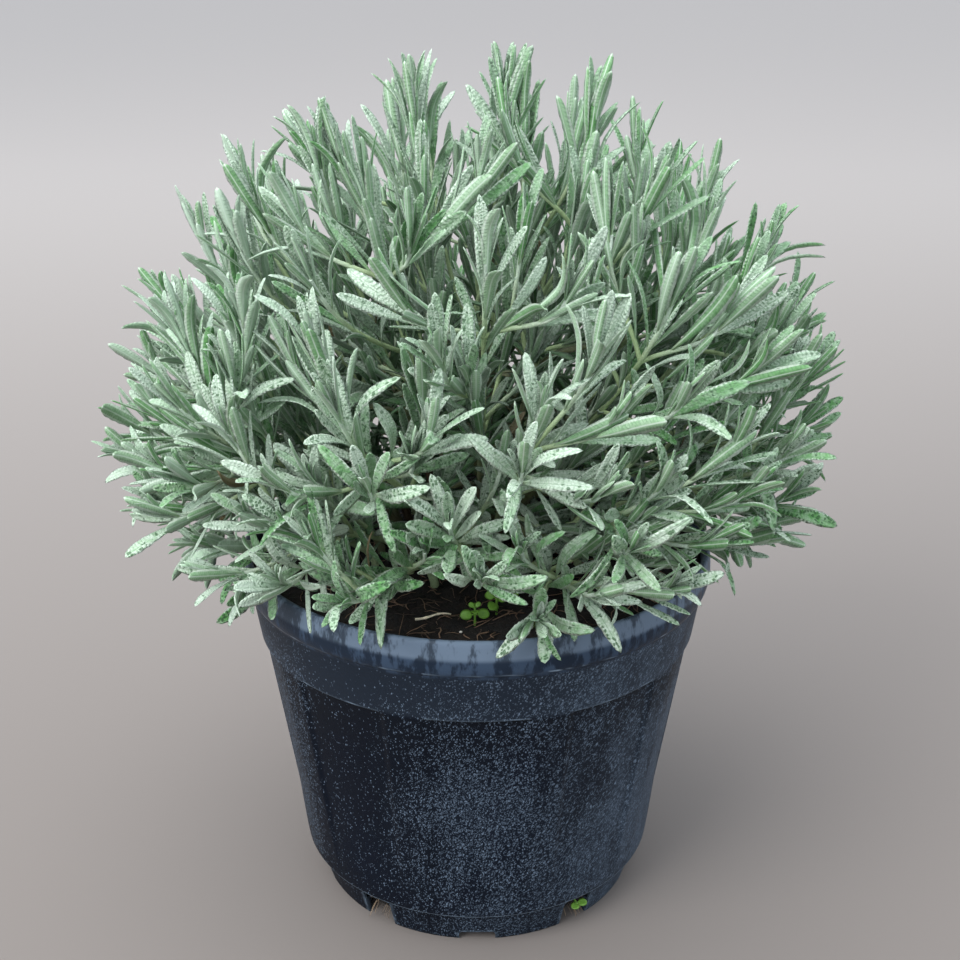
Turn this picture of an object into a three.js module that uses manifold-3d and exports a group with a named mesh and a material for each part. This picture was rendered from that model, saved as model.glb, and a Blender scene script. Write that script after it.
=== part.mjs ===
// Potted lavender: a woolly grey-green bush of leafy stems in a round nursery container.
// Millimetres, +Z up. The origin is on the pot's axis at the ground, and the side that the
// reference view shows faces -Y.

import * as THREE from "three";
import { mergeVertices } from "three/addons/utils/BufferGeometryUtils.js";
import Module from "manifold-3d";

const wasm = await Module();
wasm.setup();

// Driving dimensions of the pot.
const POT_HEIGHT = 205;
const RIM_RADIUS = 130;
const RIM_WIDEST_Z = 195.5;
const RIM_CREST_RADIUS = 127.2;
const RIM_DROP = 25;
const WALL_TOP_RADIUS = 125.8;
const WALL_BOTTOM_RADIUS = 101.3;
const FOOT_HEIGHT = 22.4;
const FOOT_TOP_RADIUS = 97.4;
const FOOT_BOTTOM_RADIUS = 91.6;
const FOOT_RING_WIDTH = 2.6;
const WALL = 1.9;
const FLOOR_Z = 8;
const FLOOR_THICKNESS = 2.5;
const FLOOR_RADIUS = 93;
const RIM_LIP_INSET = 1.5;
const RIM_CREST_WIDTH = 1.2;
const RIM_ROLL_INSET = 2.2;
const RIM_ROLL_DROP = 11;
const FOOT_STEP = 1.2;

// Wall panels: shallow recesses between flush pilasters, below a smooth collar.
const PANELS = 10;
const PANEL_TOP_Z = 158;
const PANEL_HIGH_Z = 154.5;
const PANEL_LOW_Z = 34;
const PANEL_DEPTH = 1.4;
const PANEL_MIDDLE_DEPTH = 2.3;
const PANEL_STATIONS = [-14, -12.3, -4.5, 4.5, 12.3, 14];

// Foot notches: every second one is a tall drain that opens onto the soil.
const NOTCH_WIDTH = 20;
const NOTCH_HEIGHT = 6;
const DRAIN_WIDTH = 19;
const DRAIN_HEIGHT = 18;
const NOTCH_REACH = 18;

// Soil.
const SOIL_Z = 196;
const SOIL_GAP = 0.35;
const SOIL_SEGMENTS = 36;
const SOIL_RINGS = [98, 70, 38, 0];
const SOIL_RELIEF = 1.3;
const SOIL_CROWN = 3;
const PLANTING_DEPTH = 20;
const HOLE_CLEARANCE = 0.4;
const HOLE_TOP = 6;
const COLLAR = 2.5;

// The bush: its outline, the crown that the stems rise from, and the spacing of their tips.
const BUSH_CENTRE = new THREE.Vector3(0, -2, 262);
const BUSH_SIDE = 178;
const BUSH_DEPTH = 164;
const BUSH_TOP = 176;
const BUSH_UNDER = 86;
const CROWN_Z = 200;
const CROWN_RADIUS = 72;
const CROWN_SPREAD = 95;
const FOOT_LEAN = 0.5;
const TIP_LIFT = 0.9;
const TIP_LIFT_LOSS = 0.7;
const TIP_SPACING = 80;
const SPIRAL_POINTS = 500;
const SPIRAL_STEP = 137.508;
const SPIRAL_DROP = 1.28;
const FOOT_SPACING = 13;
const FOOT_ROUNDS = 60;

// Stems and leaves. Shares are of a shoot's own length.
const STEM_BASE_RADIUS = 2.3;
const STEM_TIP_RADIUS = 1.0;
const SIDE_BASE_RADIUS = 1.2;
const SIDE_SPREAD = 42;
const SIDE_ANGLE = 42;
const BUD_HALF = 1.3;
const SIDE_FLARE = 0.3;
const MAIN_SHARES = [0];
const BRANCH_SHARES = [0.44, 0.6];
const SIDE_SHARES = [0.32];
const ARC_PULL = 0.36;
const PATH_POINTS = 16;
const PATH_GAP = 5;
const PATH_OVER_SOIL = 8;
const PATH_OVER_RIM = 6;
const PATH_IN_RIM = 14;
const LEAF_WIDTH_RATIO = 0.21;
const KEEL_DEPTH = 1.1;
const LEAF_GAP = 0.4;

// Tips of the shoots that give the bush its outline and its front, in the reference view.
const OUTLINE_TIPS = [
  [14, 4, 441], [56, -30, 428], [-30, -16, 436], [-76, -28, 412], [-50, -72, 406], [-118, 6, 392],
  [-144, 10, 366], [-156, -22, 326], [-142, -84, 308], [-177, -34, 262], [-136, -62, 226],
  [118, 4, 390], [146, -6, 360], [166, 10, 328], [175, -12, 300], [158, -50, 272],
  [138, -66, 230], [28, -142, 326], [-62, -138, 324], [-60, -146, 236], [56, -140, 236],
  [84, -128, 284], [-106, -112, 262], [4, -116, 386], [-12, -150, 274], [90, -100, 366],
];

// Seedlings, twig and sprout.
const SEEDLINGS = [
  { x: -1, y: -92, height: 9, turn: 10, leaf: 3 },
  { x: 10, y: -82, height: 11, turn: 65, leaf: 3.2 },
  { x: 17, y: -71, height: 10, turn: 120, leaf: 2.6 },
];
const SEEDLING_DEPTH = 5;
const STALK_RADIUS = 0.7;
const STALK_SIDES = 4;
const DISC_THICKNESS = 0.8;
const DISC_SIDES = 6;
const TWIG_FROM = [-31, -93];
const TWIG_TO = [-13, -88];
const TWIG_RADIUS = 0.8;
const TWIG_SIDES = 5;
const SPROUT_ANGLE = 36;
const SPROUT_ROOT = { radius: 83.6, z: 14 };
const SPROUT_END = { radius: 96.1, z: 12.5 };
const SPROUT_SPREAD = 2.6;
const SPROUT_LEAF = 2.7;

const UP = new THREE.Vector3(0, 0, 1);
const DEGREE = Math.PI / 180;
const WELD = 1e-4;

const LEAF_GREEN = 0x86a58a;
const POT_BLUE_BLACK = 0x20262f;
const SOIL_BROWN = 0x2a211b;
const STRAW = 0xc9b78f;
const SEEDLING_GREEN = 0x6fae3d;

// A small repeatable dice, so that the same bush grows every time.
class Dice {
  constructor(seed) {
    this.state = seed >>> 0;
  }

  next() {
    this.state = (Math.imul(this.state, 1664525) + 1013904223) >>> 0;
    return this.state / 4294967296;
  }

  between(low, high) {
    return low + (high - low) * this.next();
  }
}

// Solids: closed triangle bodies that can be joined and cut.

function solidFrom(points, triangles) {
  const vertProperties = new Float32Array(points.flatMap((p) => [p.x, p.y, p.z]));
  const triVerts = new Uint32Array(triangles);
  return new wasm.Manifold(new wasm.Mesh({ numProp: 3, vertProperties, triVerts }));
}

function solidOf(geometry) {
  const bare = geometry.clone();
  bare.deleteAttribute("normal");
  bare.deleteAttribute("uv");
  const merged = mergeVertices(bare, WELD);
  const index = Array.from(merged.index.array);
  const place = merged.attributes.position;
  const points = [];
  for (let i = 0; i < place.count; i += 1) {
    points.push(new THREE.Vector3().fromBufferAttribute(place, i));
  }
  const whole = [];
  for (let i = 0; i < index.length; i += 3) {
    const [a, b, c] = index.slice(i, i + 3);
    if (a !== b && b !== c && c !== a) {
      whole.push(a, b, c);
    }
  }
  return solidFrom(points, whole);
}

function geometryOf(solid) {
  const mesh = solid.getMesh();
  const geometry = new THREE.BufferGeometry();
  geometry.setAttribute("position", new THREE.BufferAttribute(mesh.vertProperties, 3));
  geometry.setIndex(new THREE.BufferAttribute(mesh.triVerts, 1));
  geometry.computeVertexNormals();
  return geometry;
}

// Joins rings of equal count, each anticlockwise about the way from the first to the last.
function loft(rings) {
  const count = rings[0].length;
  const triangles = [];
  for (let ring = 0; ring + 1 < rings.length; ring += 1) {
    for (let k = 0; k < count; k += 1) {
      const a = ring * count + k;
      const b = ring * count + ((k + 1) % count);
      triangles.push(a, b, b + count, a, b + count, a + count);
    }
  }
  const last = (rings.length - 1) * count;
  for (let k = 1; k + 1 < count; k += 1) {
    triangles.push(0, k + 1, k, last, last + k, last + k + 1);
  }
  return solidFrom(rings.flat(), triangles);
}

function polar(radius, degrees, z) {
  const angle = degrees * DEGREE;
  return new THREE.Vector3(radius * Math.sin(angle), -radius * Math.cos(angle), z);
}

// Pot.

function wallRadius(z) {
  const share = (z - FOOT_HEIGHT) / (POT_HEIGHT - RIM_DROP - FOOT_HEIGHT);
  return WALL_BOTTOM_RADIUS + (WALL_TOP_RADIUS - WALL_BOTTOM_RADIUS) * share;
}

// How far the wall is pressed in, at an angle from the middle of its panel.
function panelRecess(angle) {
  const half = PANEL_STATIONS[4];
  if (Math.abs(angle) > half + 0.1) {
    return 0;
  }
  const share = 1 - (angle / half) ** 2;
  return PANEL_DEPTH + (PANEL_MIDDLE_DEPTH - PANEL_DEPTH) * share;
}

// Profile points run out along the floor, up the inner wall, over the rim and down the
// outer wall to the foot. Those marked pressed follow the panels.
function potProfile() {
  const floorTop = FLOOR_Z + FLOOR_THICKNESS;
  const junctionZ = POT_HEIGHT - RIM_DROP;
  const footInner = FOOT_BOTTOM_RADIUS - FOOT_RING_WIDTH;
  return [
    [0, floorTop],
    [FLOOR_RADIUS, floorTop],
    [wallRadius(PANEL_LOW_Z) - WALL, PANEL_LOW_Z, true],
    [wallRadius(PANEL_HIGH_Z) - WALL, PANEL_HIGH_Z, true],
    [wallRadius(junctionZ) - WALL, junctionZ],
    [RIM_CREST_RADIUS - RIM_LIP_INSET, POT_HEIGHT - RIM_CREST_WIDTH / 2],
    [RIM_CREST_RADIUS + RIM_CREST_WIDTH, POT_HEIGHT],
    [RIM_RADIUS, RIM_WIDEST_Z],
    [RIM_RADIUS - RIM_ROLL_INSET, RIM_WIDEST_Z - RIM_ROLL_DROP],
    [WALL_TOP_RADIUS, junctionZ],
    [wallRadius(PANEL_TOP_Z), PANEL_TOP_Z],
    [wallRadius(PANEL_HIGH_Z), PANEL_HIGH_Z, true],
    [wallRadius(PANEL_LOW_Z), PANEL_LOW_Z, true],
    [WALL_BOTTOM_RADIUS, FOOT_HEIGHT],
    [FOOT_TOP_RADIUS, FOOT_HEIGHT - FOOT_STEP],
    [FOOT_BOTTOM_RADIUS, 0],
    [footInner, 0],
    [footInner + 1, FLOOR_Z],
    [0, FLOOR_Z],
  ];
}

function potSolid() {
  const profile = potProfile();
  const outline = profile.map(([radius, z]) => new THREE.Vector2(radius, z)).reverse();
  const segments = PANELS * PANEL_STATIONS.length;
  const lathe = new THREE.LatheGeometry(outline, segments);
  const place = lathe.attributes.position;
  for (let i = 0; i < place.count; i += 1) {
    const segment = Math.floor(i / profile.length) % segments;
    const [radius, z, pressed] = profile[profile.length - 1 - (i % profile.length)];
    const local = PANEL_STATIONS[segment % PANEL_STATIONS.length];
    const panel = Math.floor(segment / PANEL_STATIONS.length);
    const inset = pressed ? panelRecess(local) : 0;
    const point = polar(radius - inset, panel * (360 / PANELS) + local, z);
    place.setXYZ(i, point.x, point.y, point.z);
  }
  let pot = solidOf(lathe);
  for (let k = 0; k < PANELS; k += 1) {
    const drain = k % 2 === 1;
    const width = drain ? DRAIN_WIDTH : NOTCH_WIDTH;
    const height = drain ? DRAIN_HEIGHT : NOTCH_HEIGHT;
    const box = new THREE.BoxGeometry(width, NOTCH_REACH, 2 * height);
    box.translate(0, -FOOT_BOTTOM_RADIUS, 0);
    box.rotateZ(k * (360 / PANELS) * DEGREE);
    pot = pot.subtract(solidOf(box));
  }
  return pot;
}

// Soil.

function soilRelief(x, y) {
  const wide = Math.sin(x * 0.09 + 1.3) * Math.cos(y * 0.11 - 0.4);
  const fine = Math.sin(x * 0.27 + y * 0.21) * 0.5;
  return SOIL_RELIEF * (wide + fine);
}

function soilTop(x, y) {
  const share = Math.hypot(x, y) / WALL_TOP_RADIUS;
  const crown = SOIL_CROWN * (1 - share * share);
  return SOIL_Z + crown + soilRelief(x, y) * Math.max(0, 1 - share ** 6);
}

// The root ball keeps clear of the flats between the pot's corners and of its panels.
function soilSolid() {
  const flat = Math.cos(PANEL_STATIONS[3] * DEGREE);
  const inner = (z, inset) => (wallRadius(z) - WALL - inset) * flat - SOIL_GAP;
  const junctionZ = POT_HEIGHT - RIM_DROP;
  const bottom = FLOOR_Z + FLOOR_THICKNESS + SOIL_GAP;
  const outline = [
    [0, bottom],
    [FLOOR_RADIUS * flat - 1.5, bottom],
    [inner(PANEL_LOW_Z, PANEL_MIDDLE_DEPTH), PANEL_LOW_Z],
    [inner(PANEL_HIGH_Z, PANEL_MIDDLE_DEPTH), PANEL_HIGH_Z],
    [inner(junctionZ, 0), junctionZ],
    [inner(junctionZ + 4, 0), SOIL_Z],
  ];
  const rim = outline.length;
  outline.push(...SOIL_RINGS.map((radius) => [radius, SOIL_Z]));
  const lathe = new THREE.LatheGeometry(outline.map(([r, z]) => new THREE.Vector2(r, z)), SOIL_SEGMENTS);
  lathe.rotateX(Math.PI / 2);
  const place = lathe.attributes.position;
  for (let i = 0; i < place.count; i += 1) {
    if (i % outline.length >= rim) {
      place.setZ(i, soilTop(place.getX(i), place.getY(i)));
    }
  }
  return solidOf(lathe);
}

// Shoots.

function bushReach(direction) {
  const tall = direction.z > 0 ? BUSH_TOP : BUSH_UNDER;
  return 1 / Math.hypot(direction.x / BUSH_SIDE, direction.y / BUSH_DEPTH, direction.z / tall);
}

// The outline's own tips come first, and a spiral over the bush fills in between them.
function mainTips() {
  const tips = OUTLINE_TIPS.map((place) => new THREE.Vector3(...place));
  for (let i = 0; i < SPIRAL_POINTS; i += 1) {
    const z = 1 - (SPIRAL_DROP * (i + 0.5)) / SPIRAL_POINTS;
    const flat = Math.sqrt(1 - z * z);
    const angle = i * SPIRAL_STEP * DEGREE;
    const direction = new THREE.Vector3(flat * Math.cos(angle), flat * Math.sin(angle), z);
    const tip = direction.clone().multiplyScalar(bushReach(direction)).add(BUSH_CENTRE);
    if (tips.every((other) => other.distanceTo(tip) > TIP_SPACING)) {
      tips.push(tip);
    }
  }
  return tips;
}

// Angle of a tip from straight up, seen from the crown, in degrees.
function leanOf(tip) {
  return Math.atan2(Math.hypot(tip.x, tip.y), tip.z - CROWN_Z) / DEGREE;
}

// The more a shoot leans, the further out its foot stands. Feet then push each other apart.
function mainFeet(tips) {
  const feet = tips.map((tip) => {
    const radius = (CROWN_RADIUS * leanOf(tip)) / CROWN_SPREAD;
    const flat = Math.hypot(tip.x, tip.y);
    return new THREE.Vector3((tip.x / flat) * radius, (tip.y / flat) * radius, 0);
  });
  for (let round = 0; round < FOOT_ROUNDS; round += 1) {
    for (let i = 0; i < feet.length; i += 1) {
      for (let j = 0; j < i; j += 1) {
        const apart = feet[i].clone().sub(feet[j]);
        const short = FOOT_SPACING - apart.length();
        if (short > 0) {
          apart.setLength(short / 4);
          feet[i].add(apart);
          feet[j].sub(apart);
        }
      }
    }
  }
  for (const foot of feet) {
    foot.z = soilTop(foot.x, foot.y) + COLLAR;
  }
  return feet;
}

function unit(x, y, z) {
  return new THREE.Vector3(x, y, z).normalize();
}

// A curve that leaves one point in a given direction and reaches another in a given one.
function arc(from, leave, to, arrive) {
  const pull = ARC_PULL * from.distanceTo(to);
  const second = from.clone().addScaledVector(leave, pull);
  const third = to.clone().addScaledVector(arrive, -pull);
  return new THREE.CubicBezierCurve3(from.clone(), second, third, to.clone());
}

// The part of a direction that stands square to another, at length 1.
function squareTo(along, direction) {
  return direction.clone().addScaledVector(along, -direction.dot(along)).normalize();
}

// A main shoot rises from its foot, spreads out, and turns up again towards its tip.
function mainShoot(foot, tip, twist) {
  const lean = leanOf(tip) / 90;
  const leave = unit(tip.x, tip.y, 0).multiplyScalar(FOOT_LEAN * lean).add(UP).normalize();
  const away = tip.clone().sub(new THREE.Vector3(0, 0, CROWN_Z)).normalize();
  const end = away.addScaledVector(UP, TIP_LIFT - TIP_LIFT_LOSS * lean * lean).normalize();
  const curve = arc(foot, leave, tip, end);
  const level = unit(-tip.y, tip.x, 0).applyAxisAngle(UP, twist * DEGREE);
  return { curve, end, level, length: curve.getLength() };
}

// Stations of a shoot at given shares of its length, each with a frame that turns no more
// than the shoot bends. The frame's first axis points at the first corner of the stem.
function stationsOf(shoot, shares) {
  let corner = shoot.level;
  return shares.map((share) => {
    const point = shoot.curve.getPointAt(share);
    const along = shoot.curve.getTangentAt(share);
    corner = squareTo(along, corner);
    return { share, point, along, corner: corner.clone(), next: along.clone().cross(corner) };
  });
}

function around(station, degrees) {
  const angle = degrees * DEGREE;
  const out = station.corner.clone().multiplyScalar(Math.cos(angle));
  return out.addScaledVector(station.next, Math.sin(angle));
}

// Direction that leaves a station's face at an angle to the stem, and the two square to it.
function faceFrame(station, face, swing, degrees) {
  const out = around(station, 45 + 90 * face + swing);
  const angle = degrees * DEGREE;
  const ahead = station.along.clone().multiplyScalar(Math.cos(angle));
  ahead.addScaledVector(out, Math.sin(angle));
  const over = station.along.clone().multiplyScalar(Math.sin(angle));
  over.addScaledVector(out, -Math.cos(angle));
  return { out, ahead, over, wide: over.clone().cross(ahead) };
}

function sideShoot(main, station, face, draw) {
  const { out, ahead, over, wide } = faceFrame(station, face, 0, SIDE_ANGLE);
  const tip = main.curve.getPointAt(1).addScaledVector(out, SIDE_SPREAD * draw.spread);
  tip.addScaledVector(main.end, -draw.back);
  const fromCentre = tip.clone().sub(BUSH_CENTRE);
  const reach = bushReach(fromCentre.clone().normalize());
  if (fromCentre.length() > reach) {
    tip.copy(BUSH_CENTRE).add(fromCentre.setLength(reach));
  }
  const end = main.end.clone().addScaledVector(out, SIDE_FLARE).normalize();
  const curve = arc(station.point, ahead, tip, end);
  const level = wide.clone().add(over).negate().normalize();
  return { curve, end, level, length: curve.getLength() };
}

function pathOf(shoot) {
  return shoot.curve.getSpacedPoints(PATH_POINTS);
}

// A side shoot has room where it keeps clear of the soil, the rim and every other path.
function hasRoom(path, others) {
  const free = path.slice(2);
  const aboveSoil = free.every((p) => p.z > SOIL_Z + PATH_OVER_SOIL);
  const overRim = free.every(
    (p) => Math.hypot(p.x, p.y) < RIM_RADIUS - PATH_IN_RIM || p.z > POT_HEIGHT + PATH_OVER_RIM,
  );
  return aboveSoil && overRim && others.every(
    (other) => other.every((q) => free.every((p) => p.distanceTo(q) > PATH_GAP)),
  );
}

// Leaves of a shoot, in opposite pairs on crossed faces: how far back from its tip each
// pair stands, how long it is, at what angle it leaves the stem, and how many are kept.
const MAIN_LEAVES = [
  { back: 24, length: 45, angle: 34, kept: 2 },
  { back: 1.4, length: 34, angle: 17, kept: 2 },
];
const SIDE_LEAVES = [
  { back: 21, length: 43, angle: 36, kept: 1 },
  { back: 1.4, length: 33, angle: 18, kept: 2 },
];

// Other ways to set a leaf that would touch something: change of angle, and swing round.
const LEAF_BENDS = [
  [0, 0], [9, 0], [0, 18], [0, -18], [16, 12], [16, -12], [24, 0], [8, 32], [8, -32],
  [34, 20], [34, -20], [44, 0], [44, 30], [44, -30], [60, 0], [60, 25], [60, -25],
];

// A leaf bends on outwards from where it leaves the stem. Its toothed edge is widest, then
// notched, then widest again before the blunt tip. Each row is a share of its length and of
// its width.
const LEAF_STATIONS = [[0.36, 0.84], [0.54, 0.62], [0.82, 1]];

// Three corners of a leaf at a share of its length: both edges, and the midrib below.
function leafRing(root, leaf, share, half, keel) {
  const bend = leaf.bend * DEGREE;
  const angle = bend * share;
  const ahead = (Math.sin(angle) / bend) * leaf.length;
  const out = ((1 - Math.cos(angle)) / bend) * leaf.length;
  const point = root.point.clone().addScaledVector(root.ahead, ahead);
  point.addScaledVector(root.over, -out);
  const over = root.over.clone().multiplyScalar(Math.cos(angle));
  over.addScaledVector(root.ahead, Math.sin(angle));
  return [
    point.clone().addScaledVector(root.wide, half),
    point.clone().addScaledVector(root.wide, -half),
    point.clone().addScaledVector(over, -keel),
  ];
}

function leafRings(root, leaf) {
  const half = (leaf.length * LEAF_WIDTH_RATIO) / 2;
  return LEAF_STATIONS.map(([share, width]) => leafRing(root, leaf, share, half * width, KEEL_DEPTH));
}

function leafTip(root, leaf) {
  return leafRing(root, leaf, 1, 0, 0)[0];
}

const OBSTACLES = [];

function boundsOf(solid) {
  const { min, max } = solid.boundingBox();
  return new THREE.Box3(new THREE.Vector3(...min), new THREE.Vector3(...max));
}

function addObstacle(solid, owner) {
  OBSTACLES.push({ solid, owner, box: boundsOf(solid) });
}

function isClear(solid, gap, ignored) {
  const box = boundsOf(solid).expandByScalar(gap);
  return OBSTACLES.every(
    (other) => ignored.includes(other.owner)
      || !other.box.intersectsBox(box)
      || solid.minGap(other.solid, gap) >= gap,
  );
}

// A body that grows by rings of corners. A face that is left open carries a shoot or a leaf.
class Growth {
  constructor() {
    this.points = [];
    this.triangles = [];
  }

  ring(corners) {
    return corners.map((corner) => this.points.push(corner) - 1);
  }

  wall(low, high, open) {
    const count = low.length;
    for (let k = 0; k < count; k += 1) {
      if (!open.includes(k)) {
        const [b, c] = [low[(k + 1) % count], high[(k + 1) % count]];
        this.triangles.push(low[k], b, c, low[k], c, high[k]);
      }
    }
  }

  cap(ring) {
    for (let k = 1; k + 1 < ring.length; k += 1) {
      this.triangles.push(ring[0], ring[k], ring[k + 1]);
    }
  }

  // A leaf grows out of an open face, given as its corners anticlockwise from low left.
  leaf([a, b, c, d], rings, tip) {
    const [[right, left, keel], ...rest] = rings.map((ring) => this.ring(ring));
    this.triangles.push(c, d, left, c, left, right, d, a, keel, d, keel, left);
    this.triangles.push(a, b, keel, b, c, right, b, right, keel);
    let last = [right, left, keel];
    for (const ring of rest) {
      this.wall(last, ring, []);
      last = ring;
    }
    const [end] = this.ring([tip]);
    last.forEach((corner, k) => this.triangles.push(corner, last[(k + 1) % 3], end));
  }

  solid() {
    return solidFrom(this.points, this.triangles);
  }
}

function stemCorners(station, radius) {
  return [0, 90, 180, 270].map(
    (angle) => station.point.clone().addScaledVector(around(station, angle), radius),
  );
}

// Lays out a stem: its stations and rings, and its buds, each on the short stretch between
// two rings. Shares are of its length from the root.
function layStem(shoot, first, branches, plan, baseRadius) {
  const shares = [...first];
  const budShares = branches.concat(plan.map((pair) => 1 - pair.back / shoot.length));
  const buds = budShares.map((share) => {
    const low = shares.push(share - BUD_HALF / shoot.length) - 1;
    shares.push(Math.min(1, share + BUD_HALF / shoot.length));
    return { low, children: [] };
  });
  const stations = stationsOf(shoot, shares);
  const rings = stations.map((station) => {
    const radius = baseRadius + (STEM_TIP_RADIUS - baseRadius) * station.share;
    return stemCorners(station, radius);
  });
  return { stations, rings, buds };
}

// Grows a stem on from a given ring through its own rings, with whatever its buds carry.
function growStem(body, from, { rings, buds }) {
  let last = from;
  let open = [];
  rings.forEach((corners, i) => {
    const ring = body.ring(corners);
    body.wall(last, ring, open.map((child) => child.face));
    for (const child of open) {
      const [k, next] = [child.face, (child.face + 1) % 4];
      child.grow(body, [last[k], last[next], ring[next], ring[k]]);
    }
    open = buds.find((bud) => bud.low === i)?.children ?? [];
    last = ring;
  });
  body.cap(last);
}

// Finds room for each leaf of a stem, and puts those that have it on its last buds.
function addLeaves(stem, plan, owner, dice) {
  plan.forEach((pair, row) => {
    const bud = stem.buds[stem.buds.length - plan.length + row];
    const low = stem.rings[bud.low];
    const high = stem.rings[bud.low + 1];
    for (let side = 0; side < pair.kept; side += 1) {
      const face = (row + 2 * side) % 4;
      const next = (face + 1) % 4;
      const corners = [low[face], low[next], high[next], high[face]];
      const middle = new THREE.Vector3();
      corners.forEach((corner) => middle.addScaledVector(corner, 0.25));
      const length = pair.length * dice.between(0.88, 1.08);
      const bend = dice.between(4, 30);
      for (const [tilt, swing] of LEAF_BENDS) {
        const root = faceFrame(stem.stations[bud.low], face, swing, pair.angle + tilt);
        root.point = middle;
        const rings = leafRings(root, { length, bend });
        const tip = leafTip(root, { length, bend });
        const alone = new Growth();
        const base = alone.ring(corners);
        alone.cap([...base].reverse());
        alone.leaf(base, rings, tip);
        const solid = alone.solid();
        if (isClear(solid, LEAF_GAP, [owner])) {
          addObstacle(solid, `${owner} leaf`);
          bud.children.push({ face, grow: (body, open) => body.leaf(open, rings, tip) });
          break;
        }
      }
    }
  });
}

// Frame of a main stem where it stands upright in the soil, at a height above its surface.
function uprightStation(foot, shoot, height) {
  const point = new THREE.Vector3(foot.x, foot.y, soilTop(foot.x, foot.y) + height);
  return { point, corner: shoot.level, next: UP.clone().cross(shoot.level) };
}

// The hole that a main stem stands in: its own square section, a little wider and deeper.
function plantingHole({ foot, main }) {
  const radius = STEM_BASE_RADIUS + HOLE_CLEARANCE * Math.SQRT2;
  const heights = [-PLANTING_DEPTH - SOIL_GAP, HOLE_TOP];
  return loft(heights.map((height) => stemCorners(uprightStation(foot, main, height), radius)));
}

// Every stem is laid out first, so that no leaf is in the way of a stem.
function layOutStems() {
  const tips = mainTips();
  const feet = mainFeet(tips);
  const plants = tips.map((tip, i) => {
    const dice = new Dice(7919 + 101 * i);
    const main = mainShoot(feet[i], tip, dice.between(0, 90));
    return { owner: `stem ${i}`, dice, foot: feet[i], main, sides: [] };
  });
  const paths = plants.map((plant) => pathOf(plant.main));
  plants.forEach((plant, i) => {
    const branches = stationsOf(plant.main, [0, ...BRANCH_SHARES]).slice(1);
    branches.forEach((station, order) => {
      const draw = { spread: plant.dice.between(0.85, 1.15), back: plant.dice.between(8, 22) };
      for (const turn of [0, 1, 2, 3]) {
        const face = (order * 2 + turn) % 4;
        const side = sideShoot(plant.main, station, face, draw);
        const path = pathOf(side);
        if (hasRoom(path, paths.filter((other, k) => k !== i))) {
          plant.sides.push({ ...side, face, order });
          paths.push(path);
          break;
        }
      }
    });
  });
  return plants;
}

function leafyStems() {
  const plants = layOutStems();
  for (const plant of plants) {
    const { owner, main, sides } = plant;
    plant.stem = layStem(main, MAIN_SHARES, BRANCH_SHARES, MAIN_LEAVES, STEM_BASE_RADIUS);
    addObstacle(loft(plant.stem.rings), owner);
    for (const side of sides) {
      side.owner = `${owner} side ${side.order}`;
      side.stem = layStem(side, SIDE_SHARES, [], SIDE_LEAVES, SIDE_BASE_RADIUS);
      const { low } = plant.stem.buds[side.order];
      const corners = [low, low + 1].map((i) => plant.stem.rings[i]);
      const [k, next] = [side.face, (side.face + 1) % 4];
      const root = [corners[0][k], corners[0][next], corners[1][next], corners[1][k]];
      addObstacle(loft([root, ...side.stem.rings]), side.owner);
    }
  }
  for (const { owner, dice, sides, stem } of plants) {
    for (const side of sides) {
      addLeaves(side.stem, SIDE_LEAVES, side.owner, dice);
      const grow = (body, open) => growStem(body, open, side.stem);
      stem.buds[side.order].children.push({ face: side.face, grow });
    }
    addLeaves(stem, MAIN_LEAVES, owner, dice);
  }
  return plants.map(({ foot, main, stem }) => {
    const body = new Growth();
    const base = body.ring(stemCorners(uprightStation(foot, main, -PLANTING_DEPTH), STEM_BASE_RADIUS));
    body.cap([...base].reverse());
    growStem(body, base, stem);
    return { foot, main, solid: body.solid() };
  });
}

// Small plants and the twig on the soil.

function discLeaf(centre, normal, radius) {
  const disc = new THREE.CylinderGeometry(radius, radius * 0.8, DISC_THICKNESS, DISC_SIDES);
  disc.applyQuaternion(new THREE.Quaternion().setFromUnitVectors(new THREE.Vector3(0, 1, 0), normal));
  disc.translate(centre.x, centre.y, centre.z);
  return solidOf(disc);
}

function rod(from, to, radius, sides) {
  const line = new THREE.LineCurve3(from, to);
  const section = new THREE.Shape();
  section.absarc(0, 0, radius, 0, 2 * Math.PI);
  const options = { steps: 1, curveSegments: sides, extrudePath: line };
  return solidOf(new THREE.ExtrudeGeometry(section, options));
}

// The bed that a rod lies in: a little wider than it and longer at both ends.
function rodBed(from, to, radius, sides) {
  const more = to.clone().sub(from).setLength(HOLE_CLEARANCE);
  return rod(from.clone().sub(more), to.clone().add(more), radius + HOLE_CLEARANCE, sides);
}

function seedlingStalk({ x, y, height }) {
  const ground = soilTop(x, y);
  return [-SEEDLING_DEPTH, height].map((z) => new THREE.Vector3(x, y, ground + z));
}

function seedling(place) {
  const [foot, top] = seedlingStalk(place);
  let plant = rod(foot, top, STALK_RADIUS, STALK_SIDES);
  for (const [order, drop] of [0.6, 1.6].entries()) {
    const out = polar(place.leaf * 0.85, place.turn + 180 * order, 0);
    const centre = top.clone().add(out).addScaledVector(UP, -drop);
    const tilt = out.clone().setLength(0.25).add(UP).normalize();
    plant = plant.add(discLeaf(centre, tilt, place.leaf));
  }
  return plant;
}

function twigEnds() {
  return [TWIG_FROM, TWIG_TO].map(([x, y]) => new THREE.Vector3(x, y, soilTop(x, y) + STALK_RADIUS));
}

function sproutStalk() {
  return [SPROUT_ROOT, SPROUT_END].map(({ radius, z }) => polar(radius, SPROUT_ANGLE, z));
}

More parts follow.
